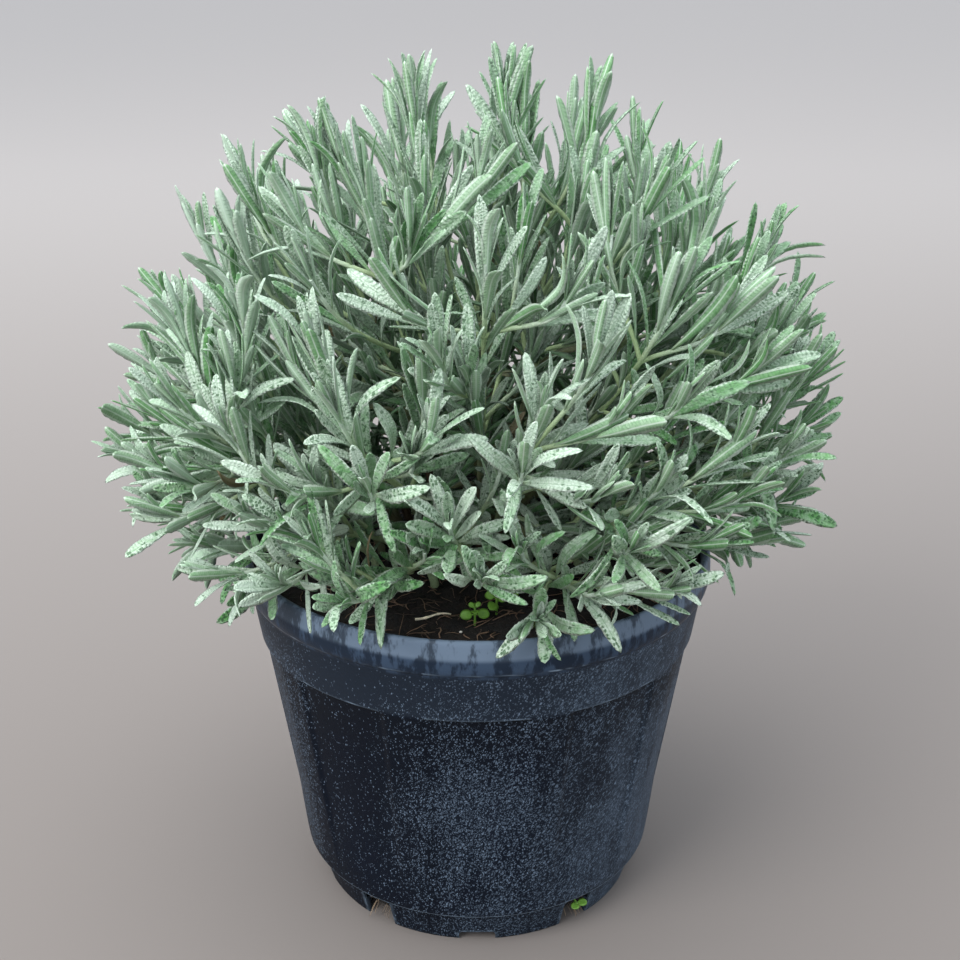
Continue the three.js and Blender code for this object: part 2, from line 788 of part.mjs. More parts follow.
function drainSprout() {
  const [root, end] = sproutStalk();
  const tilt = polar(0.5, SPROUT_ANGLE, 1).normalize();
  const across = polar(SPROUT_SPREAD, SPROUT_ANGLE + 90, 0);
  return rod(root, end, STALK_RADIUS, STALK_SIDES)
    .add(discLeaf(end.clone().add(across), tilt, SPROUT_LEAF))
    .add(discLeaf(end.clone().sub(across), tilt, SPROUT_LEAF));
}

// The object.

const lavender = new THREE.Group();

function addPiece(name, solid, colour, roughness) {
  const material = new THREE.MeshStandardMaterial({ color: colour, roughness, metalness: 0 });
  const piece = new THREE.Mesh(geometryOf(solid), material);
  piece.name = name;
  lavender.add(piece);
}

const pot = potSolid();
const seedlings = SEEDLINGS.map(seedling);
const twig = rod(...twigEnds(), TWIG_RADIUS, TWIG_SIDES);
let soil = soilSolid()
  .subtract(rodBed(...twigEnds(), TWIG_RADIUS, TWIG_SIDES))
  .subtract(rodBed(...sproutStalk(), STALK_RADIUS, STALK_SIDES));
for (const place of SEEDLINGS) {
  soil = soil.subtract(rodBed(...seedlingStalk(place), STALK_RADIUS, STALK_SIDES));
}

addObstacle(pot, "pot");
addObstacle(soil, "soil");
addObstacle(twig, "twig");
seedlings.forEach((plant, i) => addObstacle(plant, `seedling ${i}`));

const plants = leafyStems();
for (const plant of plants) {
  soil = soil.subtract(plantingHole(plant));
}

addPiece("pot", pot, POT_BLUE_BLACK, 0.55);
addPiece("soil", soil, SOIL_BROWN, 0.95);
plants.forEach(({ solid }, i) => {
  const name = `leafy_stem_${String(i + 1).padStart(2, "0")}`;
  addPiece(name, solid, LEAF_GREEN, 0.8);
});
seedlings.forEach((plant, i) => addPiece(`seedling_${i + 1}`, plant, SEEDLING_GREEN, 0.6));
addPiece("straw_twig", twig, STRAW, 0.8);
addPiece("drain_sprout", drainSprout(), SEEDLING_GREEN, 0.6);

export default lavender;
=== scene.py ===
import math

import bmesh
import bpy
import numpy as np
from mathutils import Matrix, Vector, noise


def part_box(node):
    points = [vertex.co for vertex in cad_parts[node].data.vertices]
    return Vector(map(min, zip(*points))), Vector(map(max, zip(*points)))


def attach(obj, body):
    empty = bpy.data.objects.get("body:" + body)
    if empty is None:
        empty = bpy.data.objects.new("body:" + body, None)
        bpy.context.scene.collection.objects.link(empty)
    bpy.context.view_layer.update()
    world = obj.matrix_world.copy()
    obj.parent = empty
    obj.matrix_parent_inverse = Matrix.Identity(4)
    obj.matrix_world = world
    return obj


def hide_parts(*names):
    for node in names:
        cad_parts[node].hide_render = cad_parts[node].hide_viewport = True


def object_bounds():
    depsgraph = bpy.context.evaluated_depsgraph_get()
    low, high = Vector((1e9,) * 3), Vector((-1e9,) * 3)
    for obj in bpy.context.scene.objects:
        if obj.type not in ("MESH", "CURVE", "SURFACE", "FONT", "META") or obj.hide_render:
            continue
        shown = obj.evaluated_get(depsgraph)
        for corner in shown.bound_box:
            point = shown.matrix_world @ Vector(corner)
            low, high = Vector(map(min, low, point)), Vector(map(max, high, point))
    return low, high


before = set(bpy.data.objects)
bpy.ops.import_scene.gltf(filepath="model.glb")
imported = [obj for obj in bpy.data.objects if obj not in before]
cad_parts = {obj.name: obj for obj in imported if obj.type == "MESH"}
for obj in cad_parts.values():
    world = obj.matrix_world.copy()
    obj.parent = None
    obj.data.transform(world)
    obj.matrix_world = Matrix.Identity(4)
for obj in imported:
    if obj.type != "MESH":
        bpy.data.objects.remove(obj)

bl_info = {
    "name": "Potted Lavender",
    "version": (1, 0, 0),
    "blender": (4, 5, 0),
    "location": "3D View > Sidebar > Lavender",
    "description": "Dresses the packed solids of a potted lavender",
    "category": "Add Mesh",
}

MM = 0.001
UP = Vector((0, 0, 1))

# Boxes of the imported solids.
PACKED_LOW, PACKED_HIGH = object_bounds()
POT_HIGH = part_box("pot")[1]
STEM_NODES = sorted(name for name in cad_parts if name.startswith("leafy_stem_"))

# Pot, in millimetres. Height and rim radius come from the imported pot.
POT_HEIGHT = POT_HIGH.z / MM
RIM_RADIUS = POT_HIGH.x / MM
RIM_DROP = 25
WALL_TOP_RADIUS = 125.8
WALL_BOTTOM_RADIUS = 101.3
FOOT_HEIGHT = 22.4
FOOT_TOP_RADIUS = 97.4
FOOT_BOTTOM_RADIUS = 91.6
FOOT_RING_WIDTH = 2.6
WALL = 1.9
FLOOR_Z = 8
FLOOR_THICKNESS = 2.5
FLOOR_RADIUS = 93
PANELS = 10
PITCH = 360 / PANELS
PANEL_HIGH_Z = 156
PANEL_LOW_Z = 33
PANEL_HALF = 12.9
PANEL_EDGE = 1.1
PANEL_DEPTH = 1.4
PANEL_MIDDLE_DEPTH = 2.3
NOTCH_WIDTH = 20
NOTCH_HEIGHT = 6
NOTCH_CORNER = 2.4
NOTCH_CORNER_STEPS = 4
DRAIN_WIDTH = 19
DRAIN_HEIGHT = 18
NOTCH_REACH = 18
RIM_ROWS = (
    (124.2, 188), (124.6, 196), (125.1, 201.6), (125.5, 203.6), (126.0, 204.6), (126.8, 205),
    (127.8, 205), (128.6, 204.6), (129.1, 203.6), (129.4, 201.8), (129.7, 199.2), (129.9, 196.4),
    (130.0, 193.6), (129.9, 191.2), (129.6, 189.0), (129.2, 187.4), (128.7, 186.4), (128.0, 185.7),
    (127.3, 185.2), (126.7, 184.2), (126.3, 182.6), (126.0, 180.8),
)
POT_CREASE = 38

# Soil, in millimetres.
SOIL_Z = 196
SOIL_RELIEF = 1.3
SOIL_GAP = 0.35
SOIL_COLUMN_STEP = 2.25
SOIL_ROW_STEP = 2.63
SOIL_ROWS = 47
SOIL_CROWN = 3
BED_RADIUS = 117
BED_DROP = 4

# The bush rule, in millimetres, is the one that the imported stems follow.
BUSH_CENTRE = Vector((0, -2, 262))
BUSH_SIDE = 178
BUSH_DEPTH = 164
BUSH_TOP = 176
BUSH_UNDER = 86
CROWN_Z = 200
CROWN_RADIUS = 72
CROWN_SPREAD = 95
FOOT_LEAN = 0.5
TIP_LIFT = 0.9
TIP_LIFT_LOSS = 0.7
TIP_SPACING = 80
SPIRAL_POINTS = 500
SPIRAL_STEP = 137.508
SPIRAL_DROP = 1.28
FOOT_SPACING = 13
FOOT_ROUNDS = 60
COLLAR = 2.5
PLANTING_DEPTH = 20
TIP_MARGIN = 4
STEM_BASE_RADIUS = 2.3
STEM_TIP_RADIUS = 1.0
SIDE_BASE_RADIUS = 1.2
SIDE_SPREAD = 42
SIDE_ANGLE = 42
SIDE_FLARE = 0.3
BRANCH_SHARES = (0.44, 0.6)
ARC_PULL = 0.36
ARC_STEPS = 200
PATH_POINTS = 16
PATH_GAP = 5
PATH_OVER_SOIL = 8
PATH_OVER_RIM = 6
PATH_IN_RIM = 14
OUTLINE_TIPS = (
    (14, 4, 441), (56, -30, 428), (-30, -16, 436), (-76, -28, 412), (-50, -72, 406), (-118, 6, 392),
    (-144, 10, 366), (-156, -22, 326), (-142, -84, 308), (-177, -34, 262), (-136, -62, 226),
    (118, 4, 390), (146, -6, 360), (166, 10, 328), (175, -12, 300), (158, -50, 272),
    (138, -66, 230), (28, -142, 326), (-62, -138, 324), (-60, -146, 236), (56, -140, 236),
    (84, -128, 284), (-106, -112, 262), (4, -116, 386), (-12, -150, 274), (90, -100, 366),
)

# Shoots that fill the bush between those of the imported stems: how far out their tips lie,
# as a share of the bush, and how far apart, in millimetres.
FILL_LAYERS = ((0.97, 25), (0.83, 29), (0.64, 36))
FILL_AIR = 1.3
FORK_SHARES = (0.3, 0.4, 0.5, 0.6, 0.7, 0.8)
FILL_SHORTEST = 42
FILL_LONGEST = 150
FILL_TURN = 65
FILL_LIFT = 1.35
TURN_COST = 0.9
FORK_TURN = 44

# Stems that aren't like the rest: how green and how pitted they are.
STEM_LOOKS = {17: (-0.15, 0.3), 19: (0.75, 1.0)}

# Leaves, in millimetres and degrees, with shares of their own size.
LEAF_LENGTH = 50
LEAF_NARROWEST = 2.8
LEAF_STATIONS = (0, 0.15, 0.31, 0.46, 0.6, 0.73, 0.86, 0.96)
TIP_ROUNDING = 0.31
HOOK_START = 0.5
FEWEST_LEAVES = 9
OLD_FROM = 5
OLD_PAIRS = 6
LEAFY_SHARE = 0.86
INNER_SHARE = 0.88
INNER_GAP = 8
INNER_SIDES = 3

# How leaves grow low on the bush, and how high on it.
LOW_Z = 225
HIGH_Z = 405
HABIT = {
    "vigour": (0.7, 0.98), "ratio": (0.2, 0.136), "opening": (4.8, 3.1), "widest": (52, 27),
    "lift": (0.1, 0.42), "bend": (0.5, 0.35), "old_bend": (0.5, 0.15), "hook": (1.9, 1.2),
    "spots": (1.0, 0.3), "missing": (0.03, 0.12), "first_gap": (2.4, 2.8), "gap_growth": (1.2, 1.8),
    "longest_gap": (7.4, 11),
}

# Turns that a leaf tries in order, until it is clear of the pot, the soil and the open place:
# how much further it opens, and how far it swings aside.
LEAF_TRIES = (
    (0, 0), (-10, 0), (8, 24), (8, -24), (-18, 20), (-18, -20), (-30, 0), (16, 60), (16, -60)
)

# The box that holds all leaves, and the lowest that they hang, which rises towards the front.
BOX_LOW = PACKED_LOW / MM - Vector((5, 5, 0))
BOX_HIGH = PACKED_HIGH / MM + Vector((5, 5, 2))
HANG_LOWEST = 193
HANG_FROM = 128
HANG_RISE = 0.55

# The open place at the front, where the soil and the seedlings show.
OPEN_CENTRE = (-14, -79)
OPEN_HALF = (35, 32)
OPEN_TOP = 285

# Small plants, in millimetres.
SEEDLINGS = (
    {"x": -1, "y": -92, "height": 9, "turn": 10, "leaf": 3},
    {"x": 10, "y": -82, "height": 11, "turn": 65, "leaf": 3.2},
    {"x": 17, "y": -71, "height": 10, "turn": 120, "leaf": 2.6},
)
SEEDLING_DEPTH = 5
SEEDLING_PAIRS = ((1.1, 4.4, 0.1), (0.9, 2.0, 0.35), (0.55, 0.2, 0.8))
STALK_RADIUS = 0.7
TWIG_FROM = (-31, -93)
TWIG_TO = (-13, -88)
TWIG_RADIUS = 0.8
TWIG_KNOTS = (4, 9)
SPROUT_ANGLE = 36
SPROUT_ROOT = (83.6, 14)
SPROUT_END = (96.1, 12.5)
SPROUT_LEAF = 2.7
DRAIN_ANGLES = [k * PITCH for k in range(1, PANELS, 2)]

# White grains on the soil: their places and sizes, in millimetres.
PERLITE = (
    (26, -97, 2.3), (-52, -78, 1.1), (60, -70, 1.3), (-8, -104, 0.8), (38, -90, 0.7),
    (84, 40, 1.5), (-60, 84, 1.4), (10, 106, 1.7), (-104, -20, 1.2),
)

# The view of the reference, in metres and radians.
VIEW_DISTANCE = 0.7423
VIEW_HEIGHT = 0.5346
VIEW_PITCH = 0.3812
VIEW_YAW = 0.0024
VIEW_FOCAL_PIXELS = 1450
VIEW_PIXELS = 960
SENSOR = 36

# The stage, in metres.
FLOOR_HALF = 15
FLOOR_FADE = (-0.4, 2.5)
SKY_LOW_SHARE = 0.82
LIGHT_AIM = Vector((0, 0, 0.2))


# Dice and curves.

class Dice:
    """A small repeatable dice, so that the same bush grows every time."""

    def __init__(self, seed):
        self.state = seed & 0xFFFFFFFF

    def next(self):
        self.state = (self.state * 1664525 + 1013904223) & 0xFFFFFFFF
        return self.state / 4294967296

    def between(self, low, high):
        return low + (high - low) * self.next()


class Arc:
    """A curve that leaves one point in a given direction and reaches another in a given one."""

    def __init__(self, start, leave, end, arrive):
        pull = ARC_PULL * (end - start).length
        self.points = [start.copy(), start + leave * pull, end - arrive * pull, end.copy()]
        weights = np.array([self.weights(i / ARC_STEPS) for i in range(ARC_STEPS + 1)])
        steps = weights @ np.array([tuple(p) for p in self.points])
        chords = np.linalg.norm(np.diff(steps, axis=0), axis=1)
        self.lengths = np.concatenate([[0], np.cumsum(chords)])
        self.length = float(self.lengths[-1])

    @staticmethod
    def weights(t):
        u = 1 - t
        return u ** 3, 3 * u * u * t, 3 * u * t * t, t ** 3

    def at(self, share):
        """Point and direction at a share of the length."""
        t = float(np.interp(share * self.length, self.lengths, np.linspace(0, 1, ARC_STEPS + 1)))
        a, b, c, d = self.points
        point = sum((p * w for p, w in zip(self.points, self.weights(t))), Vector())
        u = 1 - t
        along = (b - a) * (u * u) + (c - b) * (2 * u * t) + (d - c) * (t * t)
        return point, along.normalized()


class Shoot:
    """A stem on its curve, with what it carries."""

    def __init__(self, curve, end, level, base_radius):
        self.curve = curve
        self.end = end
        self.level = level
        self.base_radius = base_radius

    def path(self):
        shares = [i / PATH_POINTS for i in range(PATH_POINTS + 1)]
        return np.array([tuple(self.curve.at(share)[0]) for share in shares])

    def stations(self, shares):
        """Frames at shares of the length, which turn no more than the shoot bends."""
        corner = self.level
        found = []
        for share in shares:
            point, along = self.curve.at(share)
            corner = square_to(along, corner)
            found.append((point, along, corner.copy(), along.cross(corner)))
        return found


def square_to(along, direction):
    return (direction - along * direction.dot(along)).normalized()


def polar(radius, degrees, z):
    angle = math.radians(degrees)
    return Vector((radius * math.sin(angle), -radius * math.cos(angle), z))


def bowed(start, end, bulge, steps):
    """Points from a start to an end, which bulge aside between them."""
    shares = [i / steps for i in range(steps + 1)]
    return [start.lerp(end, share) + bulge * math.sin(share * math.pi) for share in shares]


def mix(low, high, share):
    return low + (high - low) * share


def clamp(value, low=0.0, high=1.0):
    return max(low, min(high, value))


def smooth(low, high, value):
    share = clamp((value - low) / (high - low))
    return share * share * (3 - 2 * share)


def soil_top(x, y):
    wide = math.sin(x * 0.09 + 1.3) * math.cos(y * 0.11 - 0.4)
    fine = math.sin(x * 0.27 + y * 0.21) * 0.5
    share = math.hypot(x, y) / WALL_TOP_RADIUS
    crown = SOIL_CROWN * (1 - share * share)
    return SOIL_Z + crown + SOIL_RELIEF * (wide + fine) * max(0, 1 - share ** 6)


# The bush.

def bush_reach(direction):
    tall = BUSH_TOP if direction.z > 0 else BUSH_UNDER
    flat = math.hypot(direction.x / BUSH_SIDE, direction.y / BUSH_DEPTH)
    return 1 / math.hypot(flat, direction.z / tall)


def spiral_direction(i):
    z = 1 - SPIRAL_DROP * (i + 0.5) / SPIRAL_POINTS
    flat = math.sqrt(1 - z * z)
    angle = math.radians(i * SPIRAL_STEP)
    return Vector((flat * math.cos(angle), flat * math.sin(angle), z))


def main_tips():
    tips = [Vector(place) for place in OUTLINE_TIPS]
    for i in range(SPIRAL_POINTS):
        direction = spiral_direction(i)
        tip = BUSH_CENTRE + direction * bush_reach(direction)
        if all((other - tip).length > TIP_SPACING for other in tips):
            tips.append(tip)
    return tips


def lean_of(tip):
    return math.degrees(math.atan2(math.hypot(tip.x, tip.y), tip.z - CROWN_Z))


def main_feet(tips):
    feet = []
    for tip in tips:
        radius = CROWN_RADIUS * lean_of(tip) / CROWN_SPREAD
        flat = math.hypot(tip.x, tip.y)
        feet.append(Vector((tip.x / flat * radius, tip.y / flat * radius, 0)))
    for _ in range(FOOT_ROUNDS):
        for i in range(len(feet)):
            for j in range(i):
                apart = feet[i] - feet[j]
                short = FOOT_SPACING - apart.length
                if short > 0:
                    step = apart.normalized() * (short / 4)
                    feet[i] += step
                    feet[j] -= step
    for foot in feet:
        foot.z = soil_top(foot.x, foot.y) + COLLAR
    return feet


def end_direction(tip, lift):
    lean = lean_of(tip) / 90
    away = (tip - Vector((0, 0, CROWN_Z))).normalized()
    return (away + UP * (lift - TIP_LIFT_LOSS * lean * lean)).normalized()


def main_shoot(foot, tip, twist):
    lean = lean_of(tip) / 90
    leave = (Vector((tip.x, tip.y, 0)).normalized() * (FOOT_LEAN * lean) + UP).normalized()
    end = end_direction(tip, TIP_LIFT)
    level = Matrix.Rotation(math.radians(twist), 3, "Z") @ Vector((-tip.y, tip.x, 0)).normalized()
    return Shoot(Arc(foot, leave, tip, end), end, level, STEM_BASE_RADIUS)


def side_shoot(main, station, face, spread, back):
    point, along, corner, after = station
    angle = math.radians(45 + 90 * face)
    out = corner * math.cos(angle) + after * math.sin(angle)
    turn = math.radians(SIDE_ANGLE)
    ahead = along * math.cos(turn) + out * math.sin(turn)
    over = along * math.sin(turn) - out * math.cos(turn)
    tip = main.curve.points[3] + out * (SIDE_SPREAD * spread) - main.end * back
    from_centre = tip - BUSH_CENTRE
    reach = bush_reach(from_centre.normalized())
    if from_centre.length > reach:
        tip = BUSH_CENTRE + from_centre.normalized() * reach
    end = (main.end + out * SIDE_FLARE).normalized()
    level = -(over.cross(ahead) + over).normalized()
    return Shoot(Arc(point, ahead, tip, end), end, level, SIDE_BASE_RADIUS)


def has_room(path, others):
    free = path[2:]
    reach = np.hypot(free[:, 0], free[:, 1])
    inside = reach < RIM_RADIUS - PATH_IN_RIM
    over_rim = inside | (free[:, 2] > POT_HEIGHT + PATH_OVER_RIM)
    if not over_rim.all() or free[:, 2].min() <= SOIL_Z + PATH_OVER_SOIL:
        return False
    return all(
        np.linalg.norm(free[:, None] - other[None], axis=2).min() > PATH_GAP for other in others
    )


def packed_plants():
    """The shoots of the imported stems: for each stem its main shoot, then its side shoots."""
    tips = main_tips()
    feet = main_feet(tips)
    plants = []
    dice = []
    for i, (foot, tip) in enumerate(zip(feet, tips)):
        dice.append(Dice(7919 + 101 * i))
        plants.append([main_shoot(foot, tip, dice[i].between(0, 90))])
    paths = [plant[0].path() for plant in plants]
    for i, plant in enumerate(plants):
        branches = plant[0].stations((0, *BRANCH_SHARES))[1:]
        for order, station in enumerate(branches):
            spread = dice[i].between(0.85, 1.15)
            back = dice[i].between(8, 22)
            for turn in range(4):
                face = (order * 2 + turn) % 4
                side = side_shoot(plant[0], station, face, spread, back)
                path = side.path()
                if has_room(path, paths[:i] + paths[i + 1:]):
                    plant.append(side)
                    paths.append(path)
                    break
    return plants


def nearest_fork(forks, tip):
    """The stem, and the place on it, that a filling shoot grows to a tip from most easily."""
    best = None
    for order, point, along in forks:
        way = tip - point
        if not FILL_SHORTEST < way.length < FILL_LONGEST:
            continue
        turn = math.degrees(along.angle(way))
        cost = way.length + TURN_COST * turn
        if turn < FILL_TURN and (best is None or cost < best[0]):
            best = (cost, order, point, along, way.normalized())
    return best


def add_filling_shoots(plants):
    tips = [shoot.curve.points[3] for plant in plants for shoot in plant]
    forks = []
    for order, plant in enumerate(plants):
        forks += [(order, *plant[0].curve.at(share)) for share in FORK_SHARES]
    for layer, spacing in FILL_LAYERS:
        for i in range(SPIRAL_POINTS):
            direction = spiral_direction(i)
            tip = BUSH_CENTRE + direction * (bush_reach(direction) * layer)
            room = spacing * mix(1, FILL_AIR, smooth(300, 420, tip.z))
            if any((other - tip).length < room for other in tips):
                continue
            fork = nearest_fork(forks, tip)
            if fork is None:
                continue
            _, order, point, along, way = fork
            axis = along.cross(way).normalized()
            turn = min(along.angle(way) + math.radians(8), math.radians(FORK_TURN))
            leave = Matrix.Rotation(turn, 3, axis) @ along
            end = end_direction(tip, FILL_LIFT)
            shoot = Shoot(Arc(point, leave, tip, end), end, axis, SIDE_BASE_RADIUS)
            if has_room(shoot.path(), []):
                plants[order].append(shoot)
                tips.append(tip)


# Leaf seats. Each leaf has a root, a direction ahead, the direction that its upper side
# faces, a size, and the way it bends.

def hides_soil(x, y, z):
    """Whether a point stands before the open place, for someone who looks from the front."""
    reach = (VIEW_HEIGHT / MM - SOIL_Z) / (VIEW_HEIGHT / MM - z)
    across = x * reach - OPEN_CENTRE[0]
    away = (y + VIEW_DISTANCE / MM) * reach - VIEW_DISTANCE / MM - OPEN_CENTRE[1]
    return math.hypot(across / OPEN_HALF[0], away / OPEN_HALF[1]) < 1


class Leaf:
    """One leaf: where it is rooted, how it points, and its form."""

    def __init__(self, root, ahead, over, length, width, shape, fold, age, tint, spots, dry):
        self.root = root
        self.ahead = ahead
        self.over = over
        self.size = (length, width / 2, 0)
        self.shape = shape
        self.fold = fold
        self.age = age
        self.tint = tint
        self.spots = spots
        self.dry = dry
        self.inner = False
        # How deep inside the bush the leaf sits; the material paints shade on the deepest leaves.
        depth = 1 - (root - BUSH_CENTRE).length / bush_reach((root - BUSH_CENTRE).normalized())
        self.deep = smooth(0.2, 0.5, depth)

    def point(self, share):
        length, bend = self.size[0], self.shape[0]
        ahead = math.sin(bend * share) / bend * length
        out = (1 - math.cos(bend * share)) / bend * length
        out += self.shape[1] * length * max(0, share - HOOK_START) ** 2
        return self.root + self.ahead * ahead - self.over * out

    def shorten_to(self, low, high):
        """Takes length off until the leaf ends inside a box."""
        for _ in range(12):
            tip = self.point(1)
            if all(low[k] < tip[k] < high[k] for k in range(3)):
                break
            self.size = (self.size[0] * 0.93, self.size[1] * 0.97, 0)

    def is_clear(self):
        """Whether it keeps out of the soil, the rim, the wall and the open view of the soil."""
        for share in (0.35, 0.6, 0.8, 1):
            x, y, z = self.point(share)
            reach = math.hypot(x, y)
            lowest = HANG_LOWEST + HANG_RISE * max(0, -y - HANG_FROM)
            if z < lowest or z < OPEN_TOP and hides_soil(x, y, z):
                return False
            ground = POT_HEIGHT + 4 if reach > WALL_TOP_RADIUS - 7 else soil_top(x, y) + 3
            if reach < RIM_RADIUS + 3 and z < ground:
                return False
        return True


def leaf_pairs(shoot, leafy, habit):
    """Yields how far each pair stands back from the tip; the gaps grow with age."""
    back = 1.0
    gap = habit["first_gap"]
    while back < min(leafy, shoot.curve.length * LEAFY_SHARE):
        yield back
        back += gap
        gap = min(gap + habit["gap_growth"], habit["longest_gap"])


def grow_leaves(shoot, dice, leafy, tint, spots):
    """Leaves in crossed pairs, small and closed at the tip, longer and opener further back."""
    leaves = []
    corner = shoot.level
    height = clamp((shoot.curve.points[3].z - LOW_Z) / (HIGH_Z - LOW_Z))
    habit = {key: mix(low, high, height) for key, (low, high) in HABIT.items()}
    for k, back in enumerate(leaf_pairs(shoot, leafy, habit)):
        point, along = shoot.curve.at(1 - back / shoot.curve.length)
        corner = square_to(along, corner)
        grown = 1 - math.exp(-(k + 0.95) / 1.6)
        old = clamp((k - OLD_FROM) / OLD_PAIRS)
        full = LEAF_LENGTH * habit["vigour"] * grown * (1 - 0.3 * old)
        for side in (0, 1):
            length = full * dice.between(0.74, 1.18)
            width = max(LEAF_NARROWEST, length * habit["ratio"] * dice.between(0.88, 1.14))
            lean = min(6 + habit["opening"] * k, habit["widest"]) * dice.between(0.55, 1.5)
            swing = dice.between(-26, 26)
            bend = dice.between(-0.35, habit["bend"]) + habit["old_bend"] * old * dice.next()
            hook = max(0, dice.between(-1.7, habit["hook"])) * grown * grown
            twist = dice.between(-0.55, 0.55)
            fold = mix(0.7, 0.1, grown) + dice.between(0, 0.3)
            fresh = 0.5 if dice.next() < 0.09 else 0
            # Leaves high up get a slightly paler tint: painted light from above.
            shade = clamp(tint - 0.04 * height + dice.between(-0.5, 0.5) + fresh, 0, 0.85)
            spotted = clamp(spots * dice.between(0.2, 1.7) * habit["spots"])
            dry = 0.85 if k > 7 and dice.next() < 0.03 else 0.0
            if k > 2 and dice.next() < habit["missing"]:
                continue
            if abs(bend) < 0.02:
                bend = 0.02
            for more, turn in LEAF_TRIES:
                facing = 90 * (k % 2) + 180 * side + swing + turn
                ahead, over = leaf_way(along, corner, facing, lean + more, habit["lift"])
                leaf = Leaf(
                    point, ahead, over, length, width, (bend, hook, twist), fold, grown,
                    shade, spotted, dry,
                )
                leaf.shorten_to(BOX_LOW, BOX_HIGH)
                if leaf.is_clear():
                    leaves.append(leaf)
                    break
    return leaves


def leaf_way(along, corner, facing, opening, lift=0.0):
    """Where a leaf points, and where its upper side faces, for its turns in degrees."""
    angle, opening = math.radians(facing), math.radians(opening)
    out = corner * math.cos(angle) + along.cross(corner) * math.sin(angle)
    ahead = (along * math.cos(opening) + out * math.sin(opening) + UP * lift).normalized()
    return ahead, square_to(ahead, along * math.sin(opening) - out * math.cos(opening))


def grow_inner_leaves(shoot, dice, leafy):
    """Plain leaves on the old wood inside the bush, made dark by painted shade, which close the view
    through it.
    """
    leaves = []
    length = shoot.curve.length
    back = leafy
    while back < length * INNER_SHARE:
        point, along = shoot.curve.at(1 - back / length)
        corner = square_to(along, shoot.level)
        for side in range(INNER_SIDES):
            facing = dice.between(0, 40) + 360 / INNER_SIDES * side + back * 9
            ahead, over = leaf_way(along, corner, facing, dice.between(35, 70))
            size = dice.between(24, 38)
            shape = (dice.between(0.2, 0.9), 0, dice.between(-0.5, 0.5))
            dry = 0.6 if dice.next() < 0.12 else 0.0
            leaf = Leaf(point, ahead, over, size, size * 0.2, shape, 0.1, 1.0, 0.9, 0.0, dry)
            leaf.inner = True
            if leaf.is_clear():
                leaves.append(leaf)
        back += INNER_GAP
    return leaves


# Meshes.

def link(name, data):
    """Puts an object of a mesh, light or camera in the scene."""
    piece = bpy.data.objects.new(name, data)
    bpy.context.scene.collection.objects.link(piece)
    return piece


def mesh_from(name, points, faces, edges=()):
    mesh = bpy.data.meshes.new(name)
    mesh.from_pydata([tuple(p) for p in points], list(edges), list(faces))
    return mesh


def store(mesh, name, kind, values, domain="POINT"):
    attribute = mesh.attributes.new(name, kind, domain)
    field = "vector" if kind == "FLOAT_VECTOR" else "value"
    number = bool if kind == "BOOLEAN" else np.float32
    attribute.data.foreach_set(field, np.array(values, dtype=number).ravel())


def face_outwards(mesh):
    shape = bmesh.new()
    shape.from_mesh(mesh)
    bmesh.ops.recalc_face_normals(shape, faces=shape.faces)
    shape.to_mesh(mesh)
    shape.free()


def grow_by_nodes(piece, tree, values):
    """Runs a node tree on a piece, and leaves the result as its plain mesh."""
    modifier = piece.modifiers.new("Grow", "NODES")
    modifier.node_group = tree
    for item in tree.interface.items_tree:
        if item.item_type == "SOCKET" and item.in_out == "INPUT" and item.name in values:
            modifier[item.identifier] = values[item.name]
    depsgraph = bpy.context.evaluated_depsgraph_get()
    evaluated = piece.evaluated_get(depsgraph)
    mesh = bpy.data.meshes.new_from_object(
        evaluated, preserve_all_data_layers=True, depsgraph=depsgraph
    )
    piece.modifiers.clear()
    piece.data = mesh
    mesh.name = piece.name
    drop_empty_slots(mesh)


def drop_empty_slots(mesh):
    kept = [material for material in mesh.materials if material]
    places = [kept.index(material) if material else 0 for material in mesh.materials]
    for face in mesh.polygons:
        face.material_index = places[face.material_index]
    while len(mesh.materials) > len(kept):
        mesh.materials.pop()
    for i, material in enumerate(kept):
        mesh.materials[i] = material


def finish_piece(piece, slot, *nodes):
    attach(piece, "root")
    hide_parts(*nodes)


def add_piece(name, draft, material, slot, *nodes):
    mesh = draft.mesh(name)
    mesh.materials.append(material)
    mesh.shade_smooth()
    finish_piece(link(name, mesh), slot, *nodes)


# Node trees.

class Value:
    """A number, vector or colour in a node tree. Arithmetic on it adds nodes."""

    def __init__(self, wires, socket):
        self.wires = wires
        self.socket = socket
        self.parts = None

    def combine(self, operation, *values):
        """Scalar or vector arithmetic, whichever the value is for."""
        if self.socket.type == "VECTOR":
            return self.wires.vector(operation, *values)
        return self.wires.math(operation, *values)

    def __add__(self, other):
        return self.combine("ADD", self, other)

    def __sub__(self, other):
        return self.combine("SUBTRACT", self, other)

    def __rsub__(self, other):
        return self.combine("SUBTRACT", other, self)

    def __mul__(self, other):
        if self.socket.type == "VECTOR":
            inputs = {0: self, "Scale": other}
            return self.wires.value("ShaderNodeVectorMath", inputs, operation="SCALE")
        return self.wires.math("MULTIPLY", self, other)

    def __truediv__(self, other):
        return self.wires.math("DIVIDE", self, other)

    def __abs__(self):
        return self.wires.math("ABSOLUTE", self)

    def __getitem__(self, axis):
        """One part of a vector or colour."""
        if self.parts is None:
            self.parts = self.wires.node("ShaderNodeSeparateXYZ", {0: self}).outputs
        return Value(self.wires, self.parts[axis])

    def times_plus(self, factor, more):
        return self.wires.math("MULTIPLY_ADD", self, factor, more)

    def sine(self):
        return self.wires.math("SINE", self)

    def cosine(self):
        return self.wires.math("COSINE", self)

    def ramp(self, low, high, to_low=0.0, to_high=1.0):
        """Moves a value smoothly from one range to another."""
        inputs = {0: self, 1: low, 2: high, 3: to_low, 4: to_high}
        return self.wires.value("ShaderNodeMapRange", inputs, interpolation_type="SMOOTHSTEP")

    def toward(self, other, factor):
        """A colour blended towards another one."""
        return self.wires.blend(factor, self, other)


